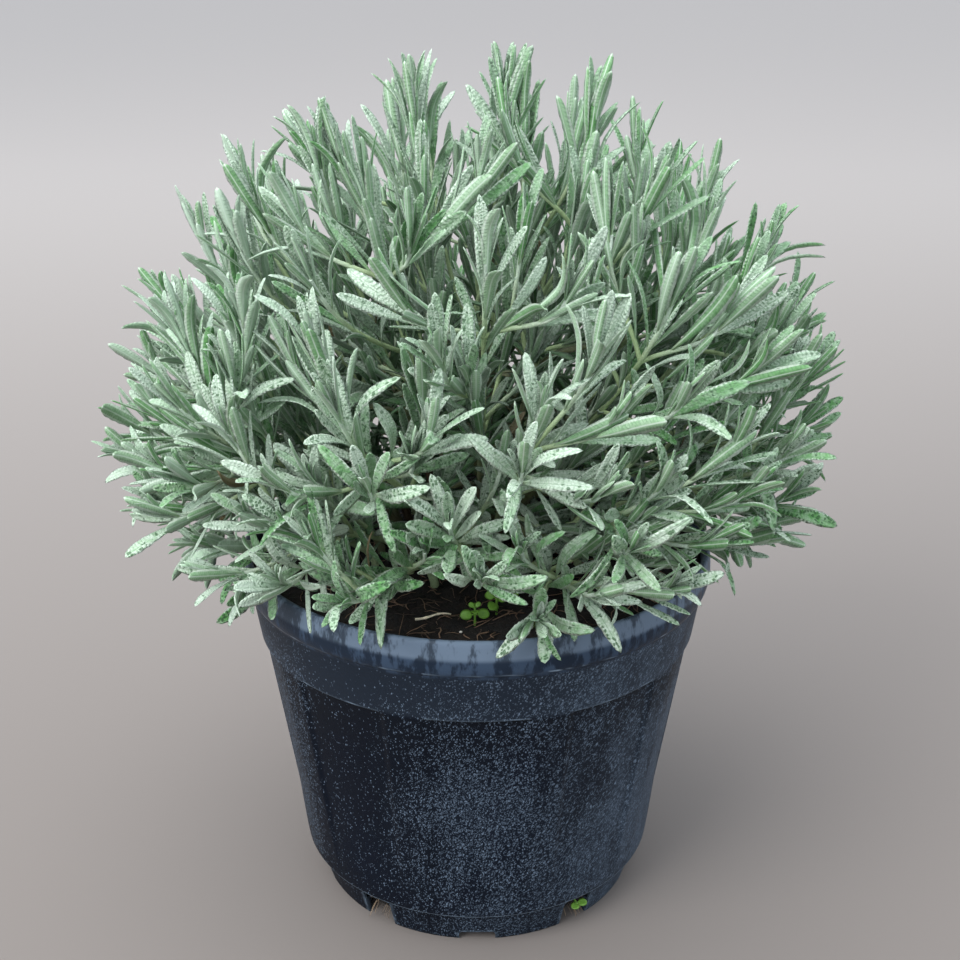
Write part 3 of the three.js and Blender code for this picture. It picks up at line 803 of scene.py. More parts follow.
class Wires:
    """Adds nodes to one tree, each with its inputs set or linked by name or number."""

    def __init__(self, tree):
        self.tree = tree

    def feed(self, socket, value):
        if isinstance(value, (Value, bpy.types.NodeSocket)):
            self.tree.links.new(getattr(value, "socket", value), socket)
        else:
            socket.default_value = value

    def node(self, kind, inputs=None, **settings):
        node = self.tree.nodes.new(kind)
        for name, value in settings.items():
            setattr(node, name, value)
        for key, value in (inputs or {}).items():
            if not isinstance(key, int):
                key = next(i for i, s in enumerate(node.inputs) if s.name == key and s.enabled)
            self.feed(node.inputs[key], value)
        return node

    def value(self, kind, inputs=None, output=None, **settings):
        """A node's output of a given name, or else its first one in use."""
        outputs = self.node(kind, inputs, **settings).outputs
        if output is None:
            return Value(self, next(socket for socket in outputs if socket.enabled))
        return Value(self, outputs[output])

    def shape(self, kind, output=None, **inputs):
        """What a geometry node puts out; an underscore in an input's name stands for a space."""
        inputs = {name.replace("_", " "): value for name, value in inputs.items()}
        return self.value("GeometryNode" + kind, inputs, output)

    def joined(self, shapes):
        node = self.node("GeometryNodeJoinGeometry")
        for shape in shapes:
            self.feed(node.inputs[0], shape)
        return Value(self, node.outputs[0])

    def math(self, operation, *values, clamped=False):
        inputs = dict(enumerate(values))
        return self.value("ShaderNodeMath", inputs, operation=operation, use_clamp=clamped)

    def vector(self, operation, *values):
        return self.value("ShaderNodeVectorMath", dict(enumerate(values)), operation=operation)

    def combined(self, x, y, z):
        return self.value("ShaderNodeCombineXYZ", {0: x, 1: y, 2: z})

    def blend(self, factor, first, second):
        inputs = {0: factor, 6: solid(first), 7: solid(second)}
        return self.value("ShaderNodeMix", inputs, data_type="RGBA")

    def noise(self, vector, scale, detail=3.0, roughness=0.55, **settings):
        inputs = {"Vector": vector, "Scale": scale, "Detail": detail, "Roughness": roughness}
        return self.value("ShaderNodeTexNoise", inputs, "Fac", **settings)

    def flat_noise(self, vector, scale):
        return self.noise(vector, scale, 1.0, 0.5, noise_dimensions="2D")

    def cells(self, vector, scale, **settings):
        """Distance from the middle of each cell, and a colour drawn for the cell."""
        node = self.node("ShaderNodeTexVoronoi", {"Vector": vector, "Scale": scale}, **settings)
        return Value(self, node.outputs["Distance"]), Value(self, node.outputs["Color"])

    def squeezed(self, vector, height):
        """The same place with its height scaled, which draws a texture out upwards."""
        return self.value("ShaderNodeMapping", {0: vector, "Scale": (1.0, 1.0, height)})

    def speckle(self, vector, scale, radius, amount):
        """Round dots of mixed sizes and strengths, more of them where the amount is higher."""
        distance, draw = self.cells(vector, scale)
        size = draw[0].times_plus(0.5 * radius, 0.5 * radius)
        dot = distance.ramp(size * 0.5, size, 1.0, 0.0)
        dot = dot * self.math("LESS_THAN", draw[1], amount)
        return dot * draw[2].times_plus(0.75, 0.25)

    def attribute(self, name):
        """A named attribute of the piece, read by a material."""
        return self.value("ShaderNodeAttribute", None, "Fac", attribute_name=name)

    def field(self, name, kind="FLOAT"):
        """A named attribute, read by a geometry tree."""
        return self.value("GeometryNodeInputNamedAttribute", {"Name": name}, data_type=kind)

    def place(self):
        """Where a point of the piece lies, in metres."""
        return self.value("ShaderNodeTexCoord", None, "Object")


def solid(shade):
    """A colour setting as an opaque colour; what a node puts out stays as it is."""
    return shade if isinstance(shade, Value) else (*shade, 1.0)


def new_tree(name, kind, inputs, outputs):
    """A node group, with its inputs, its outputs and the wires to fill it."""
    tree = bpy.data.node_groups.new(name, kind)
    for socket_name, socket_type, value in inputs:
        socket_type = "NodeSocket" + socket_type
        socket = tree.interface.new_socket(socket_name, in_out="INPUT", socket_type=socket_type)
        if value is not None:
            socket.default_value = value
    for socket_name, socket_type in outputs:
        socket_type = "NodeSocket" + socket_type
        tree.interface.new_socket(socket_name, in_out="OUTPUT", socket_type=socket_type)
    wires = Wires(tree)
    sources = tree.nodes.new("NodeGroupInput").outputs
    given = {socket.name: Value(wires, socket) for socket in sources if socket.name}
    return tree, wires, given, tree.nodes.new("NodeGroupOutput").inputs


def mottle_group():
    """Shared effect: a colour that drifts darker and lighter, and a fine grain for the bump."""
    name = "Mottle"
    if name in bpy.data.node_groups:
        return bpy.data.node_groups[name]
    tree, wires, given, taken = new_tree(
        name, "ShaderNodeTree",
        [("Vector", "Vector", None), ("Color", "Color", (0.5, 0.5, 0.5, 1)),
         ("Drift Scale", "Float", 20.0), ("Grain Scale", "Float", 900.0), ("Amount", "Float", 0.3)],
        [("Color", "Color"), ("Grain", "Float")],
    )
    drift = wires.noise(given["Vector"], given["Drift Scale"])
    grain = wires.noise(given["Vector"], given["Grain Scale"], detail=2.0)
    both = grain.times_plus(0.4, drift * 0.6)
    light = both.ramp(0.3, 0.7, 1.0 - given["Amount"], wires.math("ADD", 1.0, given["Amount"]))
    tinted = wires.vector("MULTIPLY", given["Color"], wires.combined(light, light, light))
    wires.feed(taken["Color"], tinted)
    wires.feed(taken["Grain"], grain)
    return tree


def new_material(name):
    material = bpy.data.materials.new(name)
    material.use_nodes = True
    material.node_tree.nodes.clear()
    wires = Wires(material.node_tree)
    surface = wires.node("ShaderNodeBsdfPrincipled")
    wires.node("ShaderNodeOutputMaterial", {"Surface": surface.outputs[0]})
    return material, wires, surface


def feed(wires, surface, **inputs):
    """Links or sets the surface's inputs; an underscore in a name stands for a space."""
    for name, value in inputs.items():
        wires.feed(surface.inputs[name.replace("_", " ")], value)


def mottled(wires, shade, drift_scale, grain_scale, amount):
    """A mottled colour and its fine grain."""
    values = {
        "Vector": wires.place(), "Color": solid(shade), "Drift Scale": drift_scale,
        "Grain Scale": grain_scale, "Amount": amount,
    }
    node = wires.node("ShaderNodeGroup", node_tree=mottle_group())
    for key, value in values.items():
        wires.feed(node.inputs[key], value)
    return Value(wires, node.outputs["Color"]), Value(wires, node.outputs["Grain"])


def bumped(wires, height, strength, distance):
    inputs = {"Height": height, "Strength": strength, "Distance": distance}
    return wires.value("ShaderNodeBump", inputs)


def mottled_material(parts, shade, scales, roughness, bump):
    """Gives a new material's surface a mottled colour, and a bump of its fine grain."""
    material, wires, surface = parts
    shade, grain = mottled(wires, shade, *scales)
    feed(wires, surface, Base_Color=shade, Roughness=roughness, Normal=bumped(wires, grain, *bump))
    return material


def plain_material(name, shade, scales, roughness):
    return mottled_material(new_material(name), shade, scales, roughness, (0.4, 0.0003))


# Materials.

def leaf_material(looks):
    """Woolly leaves: quilted and pitted above, smooth with a raised rib below, pale at the margin."""
    material, wires, surface = new_material("lavender_leaf")
    tint, under, seed = (wires.attribute("leaf_" + name) for name in ("tint", "under", "seed"))
    above = 1.0 - under
    uv = wires.value("ShaderNodeUVMap", uv_map="UVMap")
    across, along = uv[0], uv[1]
    off = abs(across - 0.5)
    spread = seed.times_plus(37.0, across)
    place = wires.combined(spread, seed.times_plus(91.0, along * 5.6), 0.0)
    drift = wires.flat_noise(place, 2.2)

    green = wires.math("ADD", tint, drift.ramp(0.3, 0.7, -0.2, 0.2), clamped=True)
    upper = wires.blend(green, looks.pale, looks.green)
    young = wires.attribute("leaf_age").ramp(0.45, 0.9, 0.6, 0.0)
    upper = upper.toward(looks.silver, young)
    where = wires.place()
    left, high = where[0], where[2]
    texture = high.ramp(0.24, 0.38, 0.18, 0.5)
    quilt = wires.cells(place, 7.0, voronoi_dimensions="2D")[0]
    upper = upper.toward(looks.vein, quilt.ramp(0.38, 0.62) * texture)
    upper = upper.toward(looks.vein, off.ramp(0.01, 0.05, 1.0, 0.0) * 0.4)
    lobes = drift.times_plus(3.0, off.times_plus(9.0, along * 150.0)).sine()
    comb = lobes.ramp(-0.1, -0.9) * off.ramp(0.06, 0.26)
    upper = upper.toward(looks.vein, comb * texture)

    shifted = wires.combined(drift.times_plus(0.35, place[0]), place[1], 0.0)
    reach, draw = wires.cells(shifted, 3.7, voronoi_dimensions="2D")
    kept = wires.math("LESS_THAN", draw[0], wires.attribute("leaf_spots"))
    size, edge = draw[1].times_plus(0.24, 0.14), draw[1].times_plus(0.24, 0.27)
    spot = kept * reach.ramp(size, edge, 1.0, 0.0)
    spot = spot * off.ramp(0.38, 0.44, 1.0, 0.0) * along.ramp(0.15, 0.3)
    upper = upper.toward(looks.pit, spot * 0.78)

    lower = wires.blend(green, looks.under, looks.green)
    lower = lower.toward(looks.vein, wires.flat_noise(place, 11.0).ramp(0.42, 0.66, 0.0, 0.4))
    lower = lower.toward(looks.vein, comb * 0.42)
    lower = lower.toward(looks.wool, off.ramp(0.015, 0.07, 0.7, 0.0))

    shade = wires.blend(under, upper, lower)
    # Painted light: leaves high up and on the left are blended towards the pale young-leaf colour, some
    # more than others.
    painted_light = high.ramp(0.25, 0.4, 0.0, 0.2) + left.ramp(-0.02, -0.15, 0.0, 0.3)
    shade = shade.toward(looks.silver, painted_light * seed.ramp(0.1, 0.9, 0.0, 1.6))
    inset = under.times_plus(0.05, (lobes * above).times_plus(0.035, off))
    margin = wires.math("MAXIMUM", inset.ramp(0.345, 0.42), along.ramp(0.955, 0.995, 0.0, 0.5))
    shade = shade.toward(looks.wool, margin * 0.75)
    shade = shade.toward(looks.stem, along.ramp(0.0, 0.3, 0.5, 0.0))
    shade = shade.toward(looks.dry, wires.attribute("leaf_dry"))
    # Painted shade: leaves deep inside the bush are darkened.
    shade = shade.toward(looks.deep, wires.attribute("leaf_deep") * 0.55)

    height = wires.math("SUBTRACT", 0.6, quilt) * above - spot * 0.5 - comb * 0.5
    feed(
        wires, surface, Base_Color=shade, Roughness=0.8, Sheen_Weight=0.2, Sheen_Roughness=0.5,
        Sheen_Tint=solid(looks.wool), Specular_IOR_Level=0.25, Normal=bumped(wires, height, 0.8, 0.0005),
    )
    return material


def stem_material(looks):
    parts = new_material("lavender_stem")
    age = parts[1].attribute("stem_age")
    young = parts[1].blend(age.ramp(0.0, 0.25), looks.wool, looks.stem)
    shade = young.toward(looks.bark, age.ramp(0.5, 0.95))
    return mottled_material(parts, shade, (90.0, 1400.0, 0.3), 0.8, (0.5, 0.0004))


def pot_material(looks):
    """Dark plastic: dusty speckles and streaks on the wall, painted shade below the panels' upper edges, a
    damp patchy rim painted with sky light, and painted pale highlights along the edges.
    """
    material, wires, surface = new_material("pot_plastic")
    place = wires.place()
    x, y, z = (place[axis] for axis in range(3))
    base, grain = mottled(wires, looks.plastic, 9.0, 700.0, 0.28)

    streaks = wires.noise(wires.squeezed(place, 0.12), 60.0, roughness=0.7)
    patches = wires.noise(place, 16.0, detail=2.0)
    side = wires.math("MAXIMUM", x.ramp(-0.06, -0.012, 0.12, 1.0), x.ramp(-0.08, -0.096, 0.0, 0.9))
    front = y.ramp(-0.03, 0.09, 1.0, 0.55)
    low = z.ramp(0.175, 0.152, x.ramp(-0.03, 0.06, 0.3, 0.9), 1.0)
    # Painted shade: a dark band all round the wall below the height of the panels' upper edges, with less
    # dust in it.
    panel_painted_shade = z.ramp(0.1555, 0.1566, 1.0, 0.0) * z.ramp(0.115, 0.155)
    dust = side * front * low * patches.ramp(0.36, 0.6, 0.8, 1.25)
    dust = dust * streaks.ramp(0.38, 0.56, 0.72, 1.1) * panel_painted_shade.times_plus(-0.3, 1.0)

    dots_place = wires.vector("ADD", wires.squeezed(place, 0.62), grain.times_plus(0.003, -0.0015))
    fine = wires.speckle(dots_place, 1150.0, 0.7, dust * 0.85)
    bold = wires.speckle(dots_place, 560.0, 0.36, dust * 0.5)
    speck = wires.math("MAXIMUM", fine * 0.75, bold * 0.9)
    film = dust * (x.ramp(0.03, 0.09, 0.02, 0.22) * streaks)
    film = z.ramp(0.156, 0.159).times_plus(0.05, film)
    shade = base.toward(looks.speck, film).toward(looks.shadow, panel_painted_shade * 0.6)
    shade = shade.toward(looks.speck, speck * 0.85)

    # The rim is painted with sky light: lighter than the wall, lightest on its top shoulder. Damp patches,
    # fewer on the shoulder and more on the left, bring back the plastic's own colour.
    rim = z.ramp(0.1822, 0.1848)
    lit_shoulder = z.ramp(0.1935, 0.1965)
    drips = wires.noise(wires.squeezed(place, 0.35), 120.0, detail=4.0, roughness=0.7)
    wetness = x.ramp(-0.03, -0.08).times_plus(0.06, lit_shoulder.times_plus(-0.08, drips))
    damp = wetness.ramp(0.41, 0.55)
    lit_rim_colour = wires.blend(lit_shoulder, looks.rim, looks.rim_top_lit).toward(looks.plastic, damp * 0.7)
    # Painted highlights: pale lines along the pot's edges, by the pot_edge attribute.
    shade = shade.toward(lit_rim_colour, rim).toward(looks.edge_gleam, wires.attribute("pot_edge") * 0.9)

    rough = streaks.times_plus(0.2, 0.42) - rim * damp * 0.2
    feed(
        wires, surface, Base_Color=shade, Roughness=rough, Specular_IOR_Level=0.12,
        Normal=bumped(wires, speck.times_plus(0.5, grain), 0.25, 0.0003),
    )
    return material


def soil_material(looks):
    material, wires, surface = new_material("potting_soil")
    distance, draw = wires.cells(wires.place(), 420.0)
    shade, grain = mottled(wires, wires.blend(draw[0], looks.dark, looks.bark), 60.0, 1500.0, 0.5)
    bump = bumped(wires, distance.times_plus(-1.0, grain), 0.8, 0.001)
    feed(wires, surface, Base_Color=shade, Roughness=0.92, Normal=bump)
    return material


# Leaf forms: half widths across, shares of the length along, and half widths up.

def leaf_width(share):
    """Narrow at the foot, widest well above the middle, and round at the tip."""
    swell = 0.15 + 0.85 * math.sin(min(1, share / 0.69) * math.pi / 2) ** 1.4
    close = clamp((share - 1 + TIP_ROUNDING) / TIP_ROUNDING)
    return swell * max(0, 1 - close * close) ** 0.53


def leaf_form(name, draft, under):
    """The mesh of a leaf form, with its width and length as UVs. It is kept out of the render."""
    mesh = mesh_from(name, draft.points, draft.faces)
    uv = mesh.uv_layers.new(name="UVMap")
    for loop in mesh.loops:
        x, y, _ = draft.points[loop.vertex_index]
        uv.data[loop.index].uv = ((x + 1) / 2, y)
    store(mesh, "leaf_under", "FLOAT", under, "FACE")
    face_outwards(mesh)
    mesh.shade_smooth()
    return hidden_form(name, mesh)


def leaf_template():
    """One leaf with a toothed edge, a sunken midrib above and a raised one below."""
    draft = Draft()
    rings, teeth = [], []
    for i, share in enumerate(LEAF_STATIONS):
        wide = leaf_width(share)
        toothed = 0 < i < len(LEAF_STATIONS) - 2
        edge = wide * (0.93 if toothed else 1)
        rib = -0.15 * mix(1.0, 0.5, share) - 0.1 * wide
        ring = (
            (-edge, -0.12 * wide), (-0.55 * wide, 0.12 * wide), (0, -0.03 * wide),
            (0.55 * wide, 0.12 * wide), (edge, -0.12 * wide), (0, rib),
        )
        rings.append([draft.point((x, share, z)) for x, z in ring])
        teeth.append([()] * len(ring))
        if toothed:
            middle = mix(share, LEAF_STATIONS[i + 1], 0.6)
            crest = leaf_width(middle) * 1.04
            for k, x in ((0, -crest), (4, crest)):
                teeth[-1][k] = (draft.point((x, middle, -0.17 * crest)),)
    tip = draft.point((0, 1, -0.02))
    under = []
    for low, high, between in zip(rings, [*rings[1:], None], teeth):
        for k in range(len(low)):
            j = (k + 1) % len(low)
            ahead = (*between[k], high[k], high[j], *between[j]) if high else (tip,)
            draft.faces.append((low[k], *ahead, low[j]))
            under.append(k > 3)
    draft.faces.append(tuple(rings[0]))
    return leaf_form("leaf_form", draft, [*under, 0])


def inner_leaf_template():
    """A plain leaf of few faces."""
    draft = Draft()
    rings = []
    for share in (0.02, 0.35, 0.68, 0.9):
        wide = leaf_width(share)
        ring = ((-wide, share, 0), (0, share, 0.1 * wide), (wide, share, 0), (0, share, -0.2 * wide))
        rings.append([draft.point(place) for place in ring])
    draft.skin(rings, end=draft.point((0, 1, 0)))
    return leaf_form("inner_leaf_form", draft, [0.0] * len(draft.faces))


def bent_leaves(wires, given, leaves, here):
    """Bends and twists the placed leaf forms, each by the numbers of its seat."""
    names = ("root", "ahead", "over", "size", "shape")
    root, ahead, over, size, shape = (wires.field("leaf_" + name, "FLOAT_VECTOR") for name in names)
    wide = wires.vector("CROSS_PRODUCT", over, ahead)
    place = here - root
    x, share, z = (place[axis] for axis in range(3))
    length, half = size[0] * given["Leaf Size"], size[1] * given["Leaf Size"]
    bend, hook, twist = shape[0] * given["Leaf Curl"], shape[1] * given["Leaf Curl"], shape[2]

    turned = bend * share
    radius = length / bend
    forward = turned.sine() * radius
    past = wires.math("MAXIMUM", share - HOOK_START, 0.0)
    outward = (1.0 - turned.cosine()) * radius + past * past * (hook * length)
    slope = turned + past * 2.0 * hook
    normal = over * slope.cosine() + ahead * slope.sine()
    wrung = twist * share
    cosine, sine = wrung.cosine(), wrung.sine()
    across = wide * cosine + normal * sine
    up = normal * cosine - wide * sine
    lift = (z + wires.field("leaf_fold") * abs(x)) * half
    spot = root + ahead * forward + over * (outward * -1.0) + across * (x * half) + up * lift
    bent = wires.shape("SetPosition", Geometry=leaves, Position=spot)
    return wires.shape("SetMaterial", Geometry=bent, Material=given["Leaf Material"])


def leafy_stem_tree():
    """Geometry tree: stems along their paths, and bent leaves on their seats."""
    tree, wires, given, taken = new_tree(
        "Leafy Stem", "GeometryNodeTree",
        [("Geometry", "Geometry", None), ("Leaf", "Object", None), ("Inner Leaf", "Object", None),
         ("Leaf Material", "Material", None), ("Stem Material", "Material", None),
         ("Stem Sides", "Int", 8), ("Leaf Size", "Float", 1.0), ("Leaf Curl", "Float", 1.0)],
        [("Geometry", "Geometry")],
    )
    seats, paths = wires.node(
        "GeometryNodeSeparateGeometry",
        {"Geometry": given["Geometry"], "Selection": wires.field("is_leaf", "BOOLEAN")}, domain="POINT",
    ).outputs
    here = wires.value("GeometryNodeInputPosition")
    seats = wires.value(
        "GeometryNodeStoreNamedAttribute", {"Geometry": seats, "Name": "leaf_root", "Value": here},
        data_type="FLOAT_VECTOR", domain="POINT",
    )
    inner = wires.field("is_inner", "BOOLEAN")
    outer = wires.value("FunctionNodeBooleanMath", {0: inner}, operation="NOT")
    placed = []
    for form, chosen in ((given["Leaf"], outer), (given["Inner Leaf"], inner)):
        form = wires.shape("ObjectInfo", Object=form, output="Geometry")
        placed.append(wires.shape("InstanceOnPoints", Points=seats, Selection=chosen, Instance=form))
    leaves = wires.shape("RealizeInstances", Geometry=wires.joined(placed))
    leaves = bent_leaves(wires, given, leaves, here)

    lines = wires.shape("MeshToCurve", Mesh=paths)
    section = wires.shape("CurvePrimitiveCircle", Resolution=given["Stem Sides"], Radius=1.0)
    stems = wires.shape(
        "CurveToMesh", Curve=lines, Profile_Curve=section, Scale=wires.field("stem_radius"), Fill_Caps=True
    )
    stems = wires.shape("SetShadeSmooth", Geometry=stems)
    stems = wires.shape("SetMaterial", Geometry=stems, Material=given["Stem Material"])
    wires.feed(taken["Geometry"], wires.joined([leaves, stems]))
    return tree


def stem_line(shoot, rooted):
    """Points, radii and ages of a stem's path, in metres and shares."""
    steps = max(6, int(shoot.curve.length / 9))
    line = []
    if rooted:
        foot = shoot.curve.points[0]
        line.append((foot - UP * (PLANTING_DEPTH + COLLAR), shoot.base_radius, 1.0))
    for i in range(steps + 1):
        share = i / steps
        point, _ = shoot.curve.at(share)
        radius = mix(shoot.base_radius, STEM_TIP_RADIUS, share)
        age = clamp((1 - share) * shoot.curve.length / 190)
        line.append((point, radius, age))
    return line


def leafy_stem_source(name, plant, leaves):
    """The mesh that the tree grows a leafy stem from: its paths, and a point for each leaf."""
    points, edges, radii, ages = [], [], [], []
    for order, shoot in enumerate(plant):
        first = len(points)
        for point, radius, age in stem_line(shoot, order == 0):
            points.append(point * MM)
            radii.append(radius * MM)
            ages.append(age)
        edges.extend((i, i + 1) for i in range(first, len(points) - 1))
    stemmed = len(points)
    mesh = mesh_from(name, points + [leaf.root * MM for leaf in leaves], [], edges)
    dice = Dice(len(leaves) + 17)
    for leaf in leaves:
        leaf.seed = dice.next()
        leaf.size = tuple(value * MM for value in leaf.size)
    none = [0.0] * len(leaves)
    store(mesh, "is_leaf", "BOOLEAN", [False] * stemmed + [True] * len(leaves))
    store(mesh, "is_inner", "BOOLEAN", [False] * stemmed + [leaf.inner for leaf in leaves])
    store(mesh, "stem_radius", "FLOAT", radii + none)
    store(mesh, "stem_age", "FLOAT", ages + none)
    for key in ("fold", "age", "tint", "spots", "seed", "dry", "deep"):
        values = [getattr(leaf, key) for leaf in leaves]
        store(mesh, "leaf_" + key, "FLOAT", [0.0] * stemmed + values)
    for key in ("ahead", "over", "size", "shape"):
        values = [tuple(getattr(leaf, key)) for leaf in leaves]
        store(mesh, "leaf_" + key, "FLOAT_VECTOR", [(0.0, 0.0, 0.0)] * stemmed + values)
    return link(name, mesh)


# Pot.

def wall_radius(z):
    share = (z - FOOT_HEIGHT) / (POT_HEIGHT - RIM_DROP - FOOT_HEIGHT)
    return mix(WALL_BOTTOM_RADIUS, WALL_TOP_RADIUS, share)


def foot_radius(z):
    return mix(FOOT_BOTTOM_RADIUS, FOOT_TOP_RADIUS, z / (FOOT_HEIGHT - 1.2))


def panel_inset(angle):
    """How deep a panel is pressed, at an angle from its middle in degrees."""
    away = abs(angle)
    depth = mix(PANEL_MIDDLE_DEPTH, PANEL_DEPTH, min(1, away / PANEL_HALF) ** 2)
    return depth * (1 - smooth(PANEL_HALF - PANEL_EDGE, PANEL_HALF + PANEL_EDGE, away))


def panel_angle(degrees):
    return (degrees + PITCH / 2) % PITCH - PITCH / 2


def pot_columns():
    """Angles round the pot, close together at the edges of the panels."""
    half = (2.5, 5, 7.5, 10, 11.6, 12.1, 12.5, 12.9, 13.3, 13.7, 14.2, 15.4, 16.7)
    offsets = (-PITCH / 2, *(-a for a in reversed(half)), 0, *half)
    return [panel * PITCH + offset for panel in range(PANELS) for offset in offsets]


def pot_profile():
    """Points along the floor, up the inner wall, over the rim and down to the foot: each is a
    radius, a height and how far it follows the panels."""
    floor_top = FLOOR_Z + FLOOR_THICKNESS
    junction = POT_HEIGHT - RIM_DROP
    rows = [(FLOOR_RADIUS / 2, floor_top, 0), (FLOOR_RADIUS, floor_top, 0)]
    rows += [(wall_radius(z) - WALL, z, 1) for z in (PANEL_LOW_Z, 75, 115, PANEL_HIGH_Z - 1)]
    rows += [(wall_radius(junction) - WALL, junction, 0)]
    rows += [(r, z, 0) for r, z in RIM_ROWS]
    rows += [(wall_radius(z), z, 0) for z in (179, 173, 166, 160.5, 158.4)]
    steps = ((1.5, 0), (1.1, 0.1), (0.7, 0.4), (0.3, 0.75), (-0.1, 0.95), (-0.6, 1))
    rows += [(wall_radius(PANEL_HIGH_Z + up), PANEL_HIGH_Z + up, share) for up, share in steps]
    for z in (152, 146, 137, 126, 114, 102, 90, 78, 66, 54, 44, 36, 30, 26, 22.8):
        rows.append((wall_radius(z), z, smooth(20, 80, z)))
    rows += [(101.1, 22.2, 0), (100.4, 21.8, 0), (99.2, 21.6, 0), (98.1, 21.4, 0), (97.5, 20.9, 0)]
    rows += [(foot_radius(z), z, 0) for z in (20, 18.3, 16, 12, 8, 5.8, 3, 1)]
    inner = FOOT_BOTTOM_RADIUS - FOOT_RING_WIDTH
    rows += [(91.5, 0.3, 0), (91.1, 0, 0), (inner + 0.3, 0, 0), (inner, 0.4, 0), (inner + 0.5, 4, 0)]
    rows += [(inner + 1, FLOOR_Z, 0), (45, FLOOR_Z, 0)]
    return rows


def lathe_mesh(name, rows, columns, place):
    """A closed turned form. Its first and last rows are drawn in to points on the axis."""
    count = len(columns)
    points = [place(row, degrees) for row in rows for degrees in columns]
    first, last = len(points), len(points) + 1
    points.append(Vector((0, 0, points[0].z)))
    points.append(Vector((0, 0, points[(len(rows) - 1) * count].z)))
    faces = []
    for i in range(count):
        j = (i + 1) % count
        faces.append((first, j, i))
        for row in range(len(rows) - 1):
            low, high = row * count, (row + 1) * count
            faces.append((low + i, low + j, high + j, high + i))
        end = (len(rows) - 1) * count
        faces.append((last, end + i, end + j))
    return mesh_from(name, [p * MM for p in points], faces)


def notch_cutters():
    """Rounded bars that cut the foot: every second one is a tall drain."""
    draft = Draft()
    for k in range(PANELS):
        half, top = notch_size(k)
        arch = [(-half, -top), (half, -top)]
        for side, first in ((1, 0), (-1, 90)):
            for step in range(NOTCH_CORNER_STEPS + 1):
                angle = math.radians(first + 90 * step / NOTCH_CORNER_STEPS)
                x = side * (half - NOTCH_CORNER) + NOTCH_CORNER * math.cos(angle)
                arch.append((x, top - NOTCH_CORNER + NOTCH_CORNER * math.sin(angle)))
        turn = Matrix.Rotation(math.radians(k * PITCH), 3, "Z")
        ends = [FOOT_BOTTOM_RADIUS + side * NOTCH_REACH / 2 for side in (-1, 1)]
        draft.skin([[draft.point(turn @ Vector((x, -reach, z))) for x, z in arch] for reach in ends])
    return draft.mesh("notch_cutters")


def notch_size(k):
    """Half the width, and the height, of one notch in the foot."""
    return (DRAIN_WIDTH / 2, DRAIN_HEIGHT) if k % 2 else (NOTCH_WIDTH / 2, NOTCH_HEIGHT)


class Draft:
    """Gathers the points and faces of a mesh, in millimetres."""

    def __init__(self):
        self.points = []
        self.faces = []

    def point(self, place):
        self.points.append(Vector(place))
        return len(self.points) - 1

    def skin(self, rings, start=None, end=None):
        """Faces from ring to ring, and over both ends, to a point where one is given."""
        for low, high in zip(rings, rings[1:]):
            for k in range(len(low)):
                j = (k + 1) % len(low)
                self.faces.append((low[k], low[j], high[j], high[k]))
        for ring, point in ((rings[0], start), (rings[-1], end)):
            if point is None:
                self.faces.append(tuple(ring))
            else:
                self.faces.extend((a, b, point) for a, b in zip(ring, ring[1:] + ring[:1]))

    def tube(self, path, radii, sides=6):
        """A closed round tube along a path, which turns no more than the path bends."""
        corner = (path[1] - path[0]).normalized().orthogonal().normalized()
        rings = []
        for i, place in enumerate(path):
            before, after = path[max(0, i - 1)], path[min(len(path) - 1, i + 1)]
            along = (after - before).normalized()
            corner = square_to(along, corner)
            other = along.cross(corner)
            ring = []
            for k in range(sides):
                angle = 2 * math.pi * k / sides
                out = corner * math.cos(angle) + other * math.sin(angle)
                ring.append(self.point(place + out * radii[i]))
            rings.append(ring)
        self.skin(rings)

    def blade(self, root, ahead, over, length, half, thick, droop=0.3, steps=8):
        """A small oval leaf, creased along its middle and drooping to its tip."""
        wide = over.cross(ahead)
        rings = []
        for i in range(1, steps):
            share = i / steps
            spread = half * math.sqrt(1 - (2 * share - 1) ** 2)
            middle = root + ahead * (length * share) - over * (droop * length * share * share)
            lift = spread * 0.22
            raised = lift * 0.8 + thick * 0.5
            ring = (
                (-1, lift), (-0.5, raised), (0, thick * 0.2), (0.5, raised), (1, lift), (0, -thick)
            )
            rings.append([self.point(middle + wide * (spread * x) + over * z) for x, z in ring])
        tip = root + ahead * length - over * (droop * length)
        self.skin(rings, self.point(root), self.point(tip))

    def lump(self, centre, sizes):
        """A small rough grain."""
        shape = bmesh.new()
        bmesh.ops.create_icosphere(shape, subdivisions=2, radius=1)
        first = len(self.points)
        for vert in shape.verts:
            rough = 1 + 0.22 * noise.noise(vert.co * 1.7 + centre)
            self.point(centre + Vector(a * b for a, b in zip(vert.co * rough, sizes)))
        for face in shape.faces:
            self.faces.append(tuple(first + vert.index for vert in face.verts))
        shape.free()

    def mesh(self, name):
        mesh = mesh_from(name, [p * MM for p in self.points], self.faces)
        face_outwards(mesh)
        return mesh


